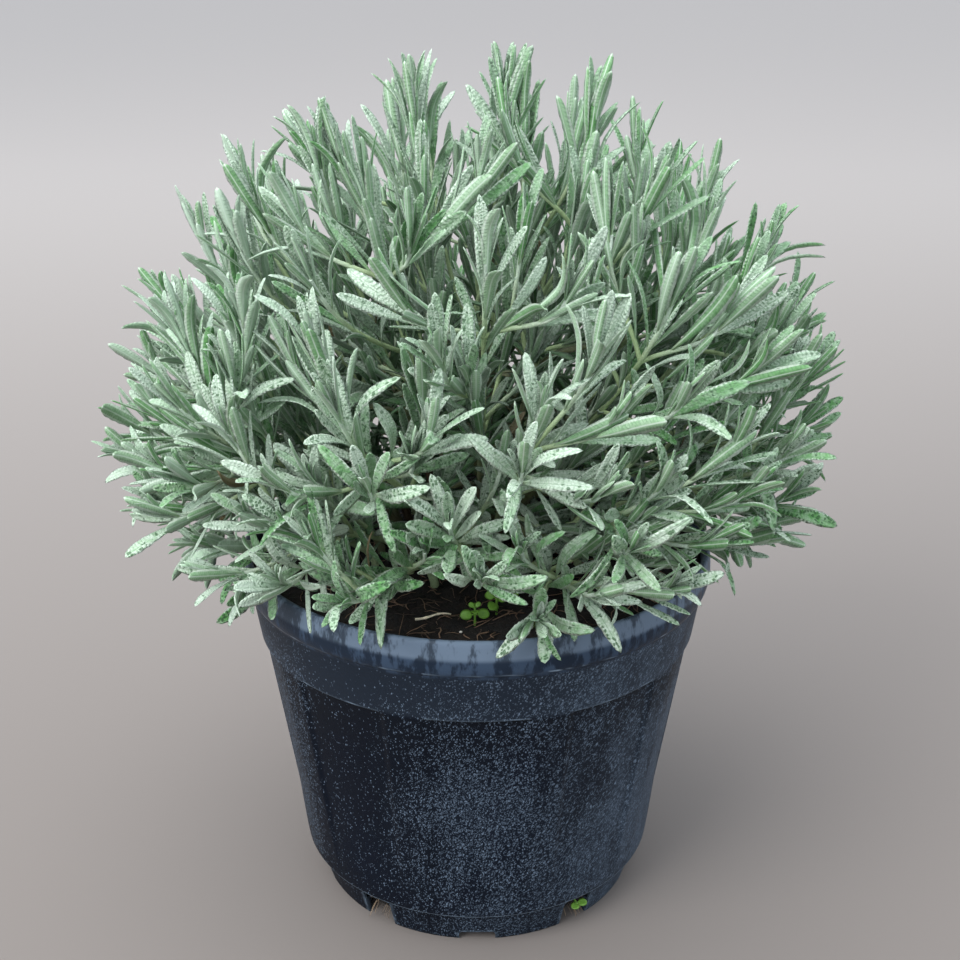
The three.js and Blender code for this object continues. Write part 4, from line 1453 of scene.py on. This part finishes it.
def painted_edge_highlights(mesh):
    """How much each point of the pot shows a painted pale highlight along its edges: the foot step, the
    rim's lower edge, the panels' upper edges and the notches.
    """
    values = []
    for vert in mesh.vertices:
        x, y, z = vert.co / MM
        radius = math.hypot(x, y)
        degrees = math.degrees(math.atan2(x, -y))
        patchy = smooth(-0.25, 0.35, noise.noise(Vector((x, y, 0)) * 0.11))
        fine = smooth(-0.1, 0.4, noise.noise(Vector((x, y, z)) * 0.35))
        edge_gleam = 0.0
        if radius > 98.4 and 21.5 < z < 22.6:
            edge_gleam = 0.5 + 0.35 * patchy + 0.2 * smooth(35, 80, abs(x))
        elif radius > 127.5 and 185.4 < z < 186.8:
            edge_gleam = patchy * fine
        elif radius > 112 and 156.2 < z < 157.6 and abs(panel_angle(degrees)) < PANEL_HALF - 0.5:
            edge_gleam = 0.12 + 0.45 * patchy * fine
        elif radius < 98 and z < DRAIN_HEIGHT + 0.2 and near_notch(degrees, radius, z):
            edge_gleam = 0.1 + 0.2 * fine
        values.append(edge_gleam)
    store(mesh, "pot_edge", "FLOAT", values)


def near_notch(degrees, radius, z):
    k = round(degrees / PITCH)
    across = abs(radius * math.sin(math.radians(degrees - k * PITCH)))
    half, top = notch_size(k)
    return radius > 90 and abs(across - half) < 0.4 and z < top or across < half and abs(z - top) < 0.3


# Soil.

def soil_surface(x, y):
    """Height of the rough potting mix, in millimetres."""
    place = Vector((x, y, 0))
    broad = noise.fractal(place * 0.035, 0.9, 2.1, 3)
    clods = noise.voronoi(place * 0.16)[0][0]
    fine = noise.fractal(place * 0.3, 0.8, 2.2, 3)
    edge = smooth(1.0, 0.93, math.hypot(x, y) / WALL_TOP_RADIUS)
    return soil_top(x, y) + edge * (1.7 * broad + 2.2 * (0.32 - clods) + 0.7 * fine)


def soil_mesh():
    """The soil's side inside the pot, and its rough top."""
    flat = math.cos(math.radians(SOIL_COLUMN_STEP * 2))
    rows = [(45, FLOOR_Z + FLOOR_THICKNESS + SOIL_GAP), (91.2, FLOOR_Z + FLOOR_THICKNESS + SOIL_GAP)]
    for z, inset in ((PANEL_LOW_Z + 1, 2.3), (PANEL_HIGH_Z - 1.5, 2.3), (180, 0)):
        rows.append(((wall_radius(z) - WALL - inset) * flat - SOIL_GAP, z))
    rows += [(123.6, 188.5), (124.0, 194.5)]
    rows += [(123.9 - SOIL_ROW_STEP * i, None) for i in range(SOIL_ROWS)] + [(1.2, None)]

    def place(row, degrees):
        radius, z = row
        spot = polar(radius, degrees, 0)
        spot.z = soil_surface(spot.x, spot.y) if z is None else z
        return spot

    columns = [i * SOIL_COLUMN_STEP for i in range(round(360 / SOIL_COLUMN_STEP))]
    mesh = lathe_mesh("soil_bed", rows, columns, place)
    face_outwards(mesh)
    bed = []
    for face in mesh.polygons:
        x, y, z = face.center / MM
        bed.append(z > SOIL_Z - BED_DROP and math.hypot(x, y) < BED_RADIUS)
    store(mesh, "mulch_bed", "BOOLEAN", bed, "FACE")
    mesh.shade_smooth()
    return mesh


def hidden_form(name, mesh):
    """A form that a geometry tree places, kept out of the render until it is removed."""
    form = link(name, mesh)
    form.hide_render = True
    return form


def chip_form():
    """A splinter of bark, two millimetres long before it is scaled."""
    draft = Draft()
    outline = (
        (-1, -0.32), (-0.45, -0.5), (0.5, -0.42), (1.05, -0.1), (0.9, 0.3), (0.1, 0.5), (-0.8, 0.34)
    )
    low = [draft.point((x * 1.7, y * 1.5, -0.28)) for x, y in outline]
    high = [draft.point((x * 1.45, y * 1.2, 0.34 + 0.12 * x)) for x, y in outline]
    draft.skin([low, high])
    return hidden_form("bark_chip", draft.mesh("bark_chip"))


def fibre_form():
    """A thin bent root fibre, sixteen millimetres long before it is scaled."""
    draft = Draft()
    bends = (
        (-8, 0, 0), (-4.8, 0.5, 0.7), (-1.4, 0.4, 1.1), (2, -0.3, 0.9), (5.2, -0.3, 0.9), (8, 0.4, 0.1)
    )
    draft.tube([Vector(bend) for bend in bends], (0.08, 0.17, 0.19, 0.18, 0.15, 0.07), sides=4)
    mesh = draft.mesh("root_fibre")
    mesh.shade_smooth()
    return hidden_form("root_fibre", mesh)


def strewn(wires, given, kind, small, large, tilt, seed):
    """Forms strewn over the bed of the soil, of random sizes, turned and tilted at random."""
    points = wires.value(
        "GeometryNodeDistributePointsOnFaces",
        {"Mesh": given["Geometry"], "Selection": wires.field("mulch_bed", "BOOLEAN"),
         "Density": given[kind + " Density"], "Seed": given["Seed"] + seed},
    )

    def draw(low, high, order, data_type="FLOAT_VECTOR"):
        inputs = {"Min": low, "Max": high, "Seed": seed + order}
        return wires.value("FunctionNodeRandomValue", inputs, data_type=data_type)

    pieces = wires.shape(
        "InstanceOnPoints", Points=points,
        Instance=wires.shape("ObjectInfo", Object=given[kind], output="Geometry"),
        Rotation=draw((-tilt, -tilt, 0.0), (tilt, tilt, 6.283), 1),
        Scale=draw(small, large, 2) * given[kind + " Size"],
    )
    pieces = wires.value(
        "GeometryNodeStoreNamedAttribute",
        {"Geometry": pieces, "Name": "mulch_tint", "Value": draw(0.0, 1.0, 3, "FLOAT")},
        data_type="FLOAT", domain="INSTANCE",
    )
    pieces = wires.shape("RealizeInstances", Geometry=pieces)
    return wires.shape("SetMaterial", Geometry=pieces, Material=given[kind + " Material"])


def mulch_tree():
    """Geometry tree: strews bark chips and root fibres over the bed of the soil."""
    inputs = [("Geometry", "Geometry", None), ("Soil Material", "Material", None)]
    for kind, density in (("Chip", 20000.0), ("Fibre", 8000.0)):
        inputs += [(kind, "Object", None), (kind + " Material", "Material", None)]
        inputs += [(kind + " Density", "Float", density), (kind + " Size", "Float", 1.0)]
    tree, wires, given, taken = new_tree(
        "Strewn Mulch", "GeometryNodeTree", [*inputs, ("Seed", "Int", 4)], [("Geometry", "Geometry")]
    )
    chips = strewn(wires, given, "Chip", (0.35, 0.4, 0.5), (1.9, 1.5, 1.5), 0.5, 10)
    fibres = strewn(wires, given, "Fibre", (0.25, 0.3, 0.8), (1.5, 3.0, 1.8), 0.4, 20)
    soil = wires.shape("SetMaterial", Geometry=given["Geometry"], Material=given["Soil Material"])
    wires.feed(taken["Geometry"], wires.joined([fibres, chips, soil]))
    return tree


def mulch_material(name, dark, light, roughness):
    parts = new_material(name)
    shade = parts[1].blend(parts[1].attribute("mulch_tint"), dark, light)
    return mottled_material(parts, shade, (120.0, 1600.0, 0.35), roughness, (0.6, 0.0004))


def keep_attributes(mesh, names):
    """Removes what only the geometry trees needed."""
    needed = {"position", "UVMap", "material_index", "sharp_face", "sharp_edge", *names}
    spare = [a.name for a in mesh.attributes if a.name not in needed and not a.name.startswith(".")]
    for name in spare:
        mesh.attributes.remove(mesh.attributes[name])


def remove_forms(*forms):
    for form in forms:
        mesh = form.data
        bpy.data.objects.remove(form)
        bpy.data.meshes.remove(mesh)


# Settings.

def hue(red, green, blue):
    """A colour given in everyday 0 to 255 steps, as Blender's linear one."""
    steps = (red, green, blue)
    return tuple(((c / 255 + 0.055) / 1.055) ** 2.4 if c > 10 else c / 3295 for c in steps)


def number_setting(name, description, value, **more):
    return bpy.props.FloatProperty(name=name, description=description, default=value, **more)


def colour_setting(name, description, shade):
    return bpy.props.FloatVectorProperty(
        name=name, description=description, subtype="COLOR", size=3, min=0, max=1, default=shade
    )


class BushSettings(bpy.types.PropertyGroup):
    """Sizes and colours of the lavender's leaves and stems."""

    leaf_size: number_setting(
        "Leaf Size", "Size of every leaf, as a share of its own", 1.0, min=0.5, max=1.2, subtype="FACTOR"
    )
    leaf_curl: number_setting(
        "Leaf Curl", "How strongly leaves bend and hook back", 1.0, min=0.1, max=2.0, subtype="FACTOR"
    )
    stem_sides: bpy.props.IntProperty(
        name="Stem Sides", description="Sides of each stem's section", default=8, min=4, max=16
    )
    main_leafy: number_setting(
        "Leafy Main Length", "Leafy length at the end of a main shoot", 0.115,
        min=0.02, max=0.2, unit="LENGTH",
    )
    side_leafy: number_setting(
        "Leafy Side Length", "Leafy length at the end of a side shoot", 0.085,
        min=0.02, max=0.2, unit="LENGTH",
    )
    pale: colour_setting("Pale Leaf", "Upper side of the woolliest leaves", hue(186, 202, 184))
    green: colour_setting("Green Leaf", "Upper side of the greenest leaves", hue(92, 147, 83))
    # Young Leaf is also the painted light on leaves high up and on the left.
    silver: colour_setting(
        "Young Leaf", "Youngest leaves, and the woolly ones high up", hue(186, 203, 187)
    )
    vein: colour_setting("Vein", "Sunken veins of the quilted upper side", hue(84, 122, 84))
    pit: colour_setting("Pit", "Dark pits in the upper side", hue(50, 88, 50))
    under: colour_setting("Under Side", "Felted lower side of a leaf", hue(148, 177, 143))
    wool: colour_setting("Wool", "Woolly margins and tips", hue(202, 216, 201))
    stem: colour_setting("Stem", "Green stems", hue(158, 178, 132))
    bark: colour_setting("Bark", "Old wood at the foot of a stem", hue(84, 68, 50))
    # Deep Leaf is painted shade, put on the leaves deep inside the bush.
    deep: colour_setting("Deep Leaf", "Old shaded leaves inside the bush", hue(30, 46, 28))
    dry: colour_setting("Dry Leaf", "Dead leaves low in the bush", hue(140, 112, 78))


class PotSettings(bpy.types.PropertyGroup):
    """Colours of the nursery pot."""

    plastic: colour_setting("Plastic", "Moulded wall", hue(4, 11, 23))
    # Panel Shadow is painted shade below the panels' upper edges.
    shadow: colour_setting(
        "Panel Shadow", "Dark shading below the upper edge of a panel", hue(7, 12, 20)
    )
    speck: colour_setting("Speckle", "Dust dots and film on the wall", hue(120, 138, 158))
    # Rim and Rim Light are painted sky light on the dry rim: the side a little lit, the top lit most.
    rim: colour_setting("Rim", "Dry parts of the rim's side", hue(54, 69, 88))
    rim_top_lit: colour_setting("Rim Light", "Dry top of the rim", hue(100, 115, 132))
    # The Wear colour is the painted highlight along the pot's edges.
    edge_gleam: colour_setting("Wear", "Worn edges", hue(150, 172, 192))


class SoilSettings(bpy.types.PropertyGroup):
    """Sizes and colours of the potting mix."""

    chip_density: number_setting("Chip Density", "Bark chips on each square metre", 14000, min=0)
    fibre_density: number_setting("Fibre Density", "Root fibres on each square metre", 17000, min=0)
    seed: bpy.props.IntProperty(
        name="Seed", description="Seed of the strewn chips and fibres", default=4
    )
    dark: colour_setting("Dark Mix", "Dampest grains", hue(9, 8, 7))
    bark: colour_setting("Bark Mix", "Bark grains and chips", hue(28, 20, 15))
    fibre: colour_setting("Fibre", "Palest root fibres", hue(146, 117, 94))
    perlite: colour_setting("Perlite", "White grains", hue(212, 208, 198))
    moss: colour_setting("Moss", "Tuft of moss", hue(86, 104, 44))


class SmallPlantSettings(bpy.types.PropertyGroup):
    """Colours of the seedlings, the twig, the sprout and the loose roots."""

    weed: colour_setting("Weed", "Small round leaves", hue(100, 146, 50))
    straw: colour_setting("Straw", "Dry twig", hue(238, 226, 198))
    root: colour_setting("Root", "Loose roots in the drains", hue(124, 106, 86))
    grit: colour_setting("Grit", "Grit and soil in the drains", hue(74, 70, 68))


class StageSettings(bpy.types.PropertyGroup):
    """Floor and light."""

    floor: colour_setting("Floor", "Plain pale floor", hue(114, 107, 102))
    far_floor: colour_setting("Far Floor", "The floor's paler far part", hue(166, 159, 154))
    sky: colour_setting("Sky", "Soft light from all round", hue(228, 236, 246))
    sky_strength: number_setting("Sky Strength", "Strength of the light overhead", 1.66, min=0)
    top_power: number_setting(
        "Top Light", "Power of the large light overhead", 66, min=0, unit="POWER"
    )
    front_power: number_setting(
        "Front Light", "Power of the large light in front", 80, min=0, unit="POWER"
    )


# Operators.

class LAVENDER_OT_stage(bpy.types.Operator):
    """Set the floor, the soft light and the camera"""

    bl_idname = "lavender.stage"
    bl_label = "Stage"

    def execute(self, context):
        looks = context.scene.lavender_stage
        corners = [(x * FLOOR_HALF, y * FLOOR_HALF, 0) for x, y in ((-1, -1), (1, -1), (1, 1), (-1, 1))]
        floor = link("floor", mesh_from("floor", corners, [(0, 1, 2, 3)]))
        material, wires, surface = new_material("floor")
        far = wires.place()[1].ramp(*FLOOR_FADE)
        shade = wires.blend(far, looks.floor, looks.far_floor)
        feed(wires, surface, Base_Color=shade, Roughness=0.85)
        floor.data.materials.append(material)

        context.scene.world = self.sky(looks)
        self.add_light("top_light", (-0.6, -0.5, 3.2), 3.0, looks.top_power)
        self.add_light("front_light", (-1.8, -1.8, 2.1), 2.0, looks.front_power)

        lens = bpy.data.cameras.new("view")
        lens.sensor_width = SENSOR
        lens.lens = VIEW_FOCAL_PIXELS / VIEW_PIXELS * SENSOR
        camera = link("view", lens)
        camera.location = (0, -VIEW_DISTANCE, VIEW_HEIGHT)
        camera.rotation_euler = (math.pi / 2 - VIEW_PITCH, 0, -VIEW_YAW)
        context.scene.camera = camera
        context.scene.view_settings.view_transform = "Standard"
        return {"FINISHED"}

    @staticmethod
    def sky(looks):
        """Soft light from all round, a little weaker from low down."""
        world = bpy.data.worlds.new("soft_sky")
        world.use_nodes = True
        sky = next(node for node in world.node_tree.nodes if node.type == "BACKGROUND")
        wires = Wires(world.node_tree)
        high = wires.value("ShaderNodeTexCoord", None, "Generated")[2]
        strength = high.ramp(-0.1, 0.9, SKY_LOW_SHARE * looks.sky_strength, looks.sky_strength)
        wires.feed(sky.inputs["Color"], solid(looks.sky))
        wires.feed(sky.inputs["Strength"], strength)
        return world

    @staticmethod
    def add_light(name, place, size, power):
        data = bpy.data.lights.new(name, "AREA")
        data.shape = "DISK"
        data.size = size
        data.energy = power
        light = link(name, data)
        light.location = place
        light.rotation_euler = (LIGHT_AIM - Vector(place)).to_track_quat("-Z", "Y").to_euler()


class LAVENDER_OT_pot(bpy.types.Operator):
    """Turn the nursery pot, with its rolled rim, pressed panels, foot and notches"""

    bl_idname = "lavender.pot"
    bl_label = "Nursery Pot"

    def execute(self, context):
        def place(row, degrees):
            radius, z, pressed = row
            inset = pressed * panel_inset(panel_angle(degrees))
            return polar(radius - inset, degrees, z)

        mesh = lathe_mesh("nursery_pot", pot_profile(), pot_columns(), place)
        face_outwards(mesh)
        pot = link("nursery_pot", mesh)
        cutters = link("notch_cutters", notch_cutters())
        cut = pot.modifiers.new("Notches", "BOOLEAN")
        cut.operation = "DIFFERENCE"
        cut.solver = "MANIFOLD"
        cut.object = cutters
        depsgraph = context.evaluated_depsgraph_get()
        notched = bpy.data.meshes.new_from_object(pot.evaluated_get(depsgraph), depsgraph=depsgraph)
        pot.modifiers.clear()
        if len(notched.vertices) <= len(mesh.vertices):
            raise RuntimeError("The foot notches were not cut")
        pot.data = notched
        notched.name = "nursery_pot"
        remove_forms(cutters)
        painted_edge_highlights(notched)
        notched.materials.clear()
        notched.materials.append(pot_material(context.scene.lavender_pot))
        notched.shade_smooth()
        notched.set_sharp_from_angle(angle=math.radians(POT_CREASE))
        finish_piece(pot, "pot_plastic", "pot")
        return {"FINISHED"}


class LAVENDER_OT_soil(bpy.types.Operator):
    """Fill the pot with rough potting mix, strewn with bark chips and root fibres"""

    bl_idname = "lavender.soil"
    bl_label = "Potting Soil"

    def execute(self, context):
        looks = context.scene.lavender_soil
        soil = link("soil_bed", soil_mesh())
        chip, fibre = chip_form(), fibre_form()
        grow_by_nodes(soil, mulch_tree(), {
            "Chip": chip, "Fibre": fibre, "Soil Material": soil_material(looks),
            "Chip Material": mulch_material("bark_chips", looks.dark, looks.bark, 0.85),
            "Fibre Material": mulch_material("root_fibres", looks.bark, looks.fibre, 0.7),
            "Chip Density": looks.chip_density, "Fibre Density": looks.fibre_density,
            "Chip Size": 1.0, "Fibre Size": 1.0, "Seed": looks.seed,
        })
        keep_attributes(soil.data, ["mulch_tint"])
        remove_forms(chip, fibre)
        finish_piece(soil, "potting_soil", "soil")
        self.add_grains(looks)
        return {"FINISHED"}

    @staticmethod
    def add_grains(looks):
        """White perlite grains, and a tuft of moss beside one."""
        grains, moss = Draft(), Draft()
        for x, y, size in PERLITE:
            spot = Vector((x, y, soil_surface(x, y) + 0.6 * size))
            grains.lump(spot, (size, size * 0.8, size * 0.75))
        dice = Dice(41)
        for _ in range(46):
            x, y = 31 + dice.between(-5, 5), -94 + dice.between(-3.5, 3.5)
            root = Vector((x, y, soil_surface(x, y) - 0.4))
            lean = Vector((dice.between(-0.6, 0.6), dice.between(-0.6, 0.6), 1)).normalized()
            side = lean.orthogonal().normalized()
            moss.blade(root, lean, side, dice.between(2.2, 4), 0.5, 0.18, 0.4, 4)
            dice.next()  # Passed over: it keeps the tuft's draws in step.
        for name, draft, shade, rough in (
            ("perlite_grains", grains, looks.perlite, 0.8), ("moss_tuft", moss, looks.moss, 0.75)
        ):
            material = plain_material(name, shade, (200.0, 1500.0, 0.3), rough)
            add_piece(name, draft, material, "potting_soil")


class LAVENDER_OT_leafy_stems(bpy.types.Operator):
    """Grow a finer leafy stem in the place of each packed one"""

    bl_idname = "lavender.leafy_stems"
    bl_label = "Leafy Stems"

    def execute(self, context):
        looks = context.scene.lavender_bush
        plants = packed_plants()
        self.compare(plants)
        add_filling_shoots(plants)
        form, inner_form = leaf_template(), inner_leaf_template()
        tree = leafy_stem_tree()
        values = {
            "Leaf": form, "Inner Leaf": inner_form, "Leaf Material": leaf_material(looks),
            "Stem Material": stem_material(looks), "Stem Sides": looks.stem_sides,
            "Leaf Size": looks.leaf_size, "Leaf Curl": looks.leaf_curl,
        }
        for i, (node, plant) in enumerate(zip(STEM_NODES, plants)):
            leaves = self.leaves_of(plant, i, looks)
            piece = leafy_stem_source(node.replace("leafy_stem", "lavender_stem"), plant, leaves)
            grow_by_nodes(piece, tree, values)
            keep_attributes(piece.data, [
                "leaf_age", "leaf_tint", "leaf_spots", "leaf_seed", "leaf_dry", "leaf_deep",
                "leaf_under", "stem_age",
            ])
            finish_piece(piece, "lavender_foliage", node)
        remove_forms(form, inner_form)
        return {"FINISHED"}

    @staticmethod
    def compare(plants):
        """Raises an error where the bush rule doesn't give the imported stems."""
        if len(plants) != len(STEM_NODES):
            raise RuntimeError("The bush rule doesn't give one plant for each packed stem")
        for node, plant in zip(STEM_NODES, plants):
            low, high = (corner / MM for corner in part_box(node))
            tip = plant[0].curve.points[3]
            if any(not low[k] - TIP_MARGIN < tip[k] < high[k] + TIP_MARGIN for k in range(3)):
                raise RuntimeError(f"The tip of {node} isn't where the packed stem has it")

    @staticmethod
    def leaves_of(plant, i, looks):
        """The leaves of one stem. Side shoots that would bear too few are taken off it."""
        dice = Dice(4001 + 37 * i)
        drawn = (dice.between(0.15, 0.65), dice.between(0.25, 0.85))
        plant_tint, plant_spots = STEM_LOOKS.get(i, drawn)
        leaves = []
        for order, shoot in enumerate(list(plant)):
            leafy = (looks.side_leafy if order else looks.main_leafy) / MM
            # Leaves on the left get a paler tint and those on the right a greener one: painted light from
            # the left.
            aside = clamp(shoot.curve.points[3].x / 120, -1, 1)
            tint = plant_tint + dice.between(-0.25, 0.25) + 0.12 * aside
            grown = grow_leaves(shoot, dice, leafy, tint, plant_spots)
            if order and len(grown) < FEWEST_LEAVES:
                plant.remove(shoot)
                continue
            leaves += grown
            if order == 0:
                leaves += grow_inner_leaves(shoot, dice, leafy)
        return leaves


class LAVENDER_OT_small_plants(bpy.types.Operator):
    """Set the seedlings and the twig on the soil, and the sprout and loose roots in the drains"""

    bl_idname = "lavender.small_plants"
    bl_label = "Small Plants"

    def execute(self, context):
        looks = context.scene.lavender_small_plants
        weed = plain_material("weed_leaf", looks.weed, (260.0, 1400.0, 0.22), 0.45)
        straw = plain_material("dry_straw", looks.straw, (160.0, 1500.0, 0.35), 0.7)
        root = plain_material("loose_root", looks.root, (160.0, 1500.0, 0.45), 0.8)
        grit = plain_material("drain_grit", looks.grit, (300.0, 1500.0, 0.6), 0.85)
        for i, plant in enumerate(SEEDLINGS, 1):
            name, node = f"seedling_sprig_{i}", f"seedling_{i}"
            add_piece(name, self.seedling(plant), weed, "weed_foliage", node)
        add_piece("twig", self.twig(), straw, "dry_straw", "straw_twig")
        add_piece("drain_sprig", self.sprout(), weed, "weed_foliage", "drain_sprout")
        add_piece("drain_roots", self.roots(), root, "dry_straw")
        add_piece("drain_grit", self.grit(), grit, "potting_soil")
        return {"FINISHED"}

    @staticmethod
    def seedling(plant):
        draft = Draft()
        dice = Dice(plant["turn"] + 5)
        x, y = plant["x"], plant["y"]
        foot = Vector((x, y, soil_surface(x, y) - SEEDLING_DEPTH))
        head = Vector((x, y, soil_top(x, y) + plant["height"]))
        path = [foot.lerp(head, share) for share in (0, 0.3, 0.55, 0.8, 1)]
        draft.tube(path, [STALK_RADIUS, STALK_RADIUS, STALK_RADIUS * 0.9, 0.55, 0.5])
        for pair, (grown, down, rise) in enumerate(SEEDLING_PAIRS):
            size = plant["leaf"] * grown
            root = head - UP * down
            for side in (0, 180):
                angle = math.radians(plant["turn"] + 90 * pair + side + dice.between(-12, 12))
                out = Vector((math.cos(angle), math.sin(angle), 0))
                ahead = (out + UP * rise).normalized()
                over = square_to(ahead, UP - Vector((0, 1.1, 0)))
                draft.tube([root, root + ahead * (size * 0.5)], [0.35, 0.3], 5)
                foot = root + ahead * (size * 0.4)
                draft.blade(foot, ahead, over, size * 1.9, size * 0.85, 0.3, 0.2)
        return draft

    @staticmethod
    def twig():
        draft = Draft()
        start, end = Vector((*TWIG_FROM, 0)), Vector((*TWIG_TO, 0))
        side = (end - start).cross(UP).normalized()
        path, radii = [], []
        for i in range(15):
            share = i / 14
            spot = start.lerp(end, share) + side * (0.4 * math.sin(share * 5))
            spot.z = soil_top(spot.x, spot.y) + TWIG_RADIUS + 1.0 + 0.5 * math.sin(share * 3)
            path.append(spot)
            radii.append(TWIG_RADIUS * (0.85 - 0.35 * share + (0.3 if i in TWIG_KNOTS else 0)))
        draft.tube(path, radii, 7)
        return draft

    @staticmethod
    def sprout():
        draft = Draft()
        start = polar(SPROUT_ROOT[0], SPROUT_ANGLE, SPROUT_ROOT[1])
        end = polar(SPROUT_END[0], SPROUT_ANGLE, SPROUT_END[1])
        draft.tube(bowed(start, end, UP * 0.8, 4), [0.7, 0.65, 0.6, 0.55, 0.5])
        ahead = (end - start).normalized()
        side = ahead.cross(UP).normalized()
        for sign in (-1, 1):
            way = (side * sign + ahead * 0.35 + UP * 0.25).normalized()
            over = square_to(way, UP + ahead * 0.4)
            draft.blade(end - ahead * 0.4, way, over, SPROUT_LEAF * 2.1, SPROUT_LEAF * 0.95, 0.3, 0.15)
        return draft

    @staticmethod
    def roots():
        draft = Draft()
        dice = Dice(77)
        for drain in DRAIN_ANGLES:
            for _ in range(9):
                degrees = drain + dice.between(-4.6, 4.6)
                z = dice.between(11, 16)
                reach = dice.between(91, 96.5)
                drop = dice.between(1.5, z - 1)
                start = polar(84, degrees, z)
                end = polar(reach, degrees + dice.between(-1.5, 1.5), z - drop)
                bulge = polar(1, degrees, 0) * dice.between(0, 2.5) + UP * dice.between(0, 2)
                width = dice.between(0.18, 0.42)
                draft.tube(bowed(start, end, bulge, 6), [width * (1 - 0.1 * i) for i in range(7)], 5)
        return draft

    @staticmethod
    def grit():
        draft = Draft()
        dice = Dice(31)
        for drain in DRAIN_ANGLES:
            for _ in range(16):
                size = dice.between(0.5, 1.4)
                reach, high = dice.between(89.6, 91.6), dice.between(11, 15.5)
                centre = polar(reach, drain + dice.between(-4.8, 4.8), high)
                draft.lump(centre, (size, size * 0.8, size * 0.7))
        return draft


class LAVENDER_PT_panel(bpy.types.Panel):
    """Lists the pieces of the potted lavender and their settings"""

    bl_idname = "LAVENDER_PT_panel"
    bl_label = "Potted Lavender"
    bl_space_type = "VIEW_3D"
    bl_region_type = "UI"
    bl_category = "Lavender"

    def draw(self, context):
        for settings, (operator, _) in ROWS.items():
            box = self.layout.box()
            box.operator(operator.bl_idname)
            group = getattr(context.scene, settings)
            for key in group.__annotations__:
                box.prop(group, key)


ROWS = {
    "lavender_stage": (LAVENDER_OT_stage, StageSettings),
    "lavender_pot": (LAVENDER_OT_pot, PotSettings),
    "lavender_soil": (LAVENDER_OT_soil, SoilSettings),
    "lavender_small_plants": (LAVENDER_OT_small_plants, SmallPlantSettings),
    "lavender_bush": (LAVENDER_OT_leafy_stems, BushSettings),
}
CLASSES = (*(item for row in ROWS.values() for item in row), LAVENDER_PT_panel)


def register():
    for item in CLASSES:
        bpy.utils.register_class(item)
    for name, (_, group) in ROWS.items():
        setattr(bpy.types.Scene, name, bpy.props.PointerProperty(type=group))


def unregister():
    for name in ROWS:
        delattr(bpy.types.Scene, name)
    for item in reversed(CLASSES):
        bpy.utils.unregister_class(item)


def main():
    register()
    bpy.ops.lavender.stage()
    bpy.ops.lavender.pot()
    bpy.ops.lavender.soil()
    bpy.ops.lavender.small_plants()
    bpy.ops.lavender.leafy_stems()
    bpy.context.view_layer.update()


if __name__ == "__main__":
    main()
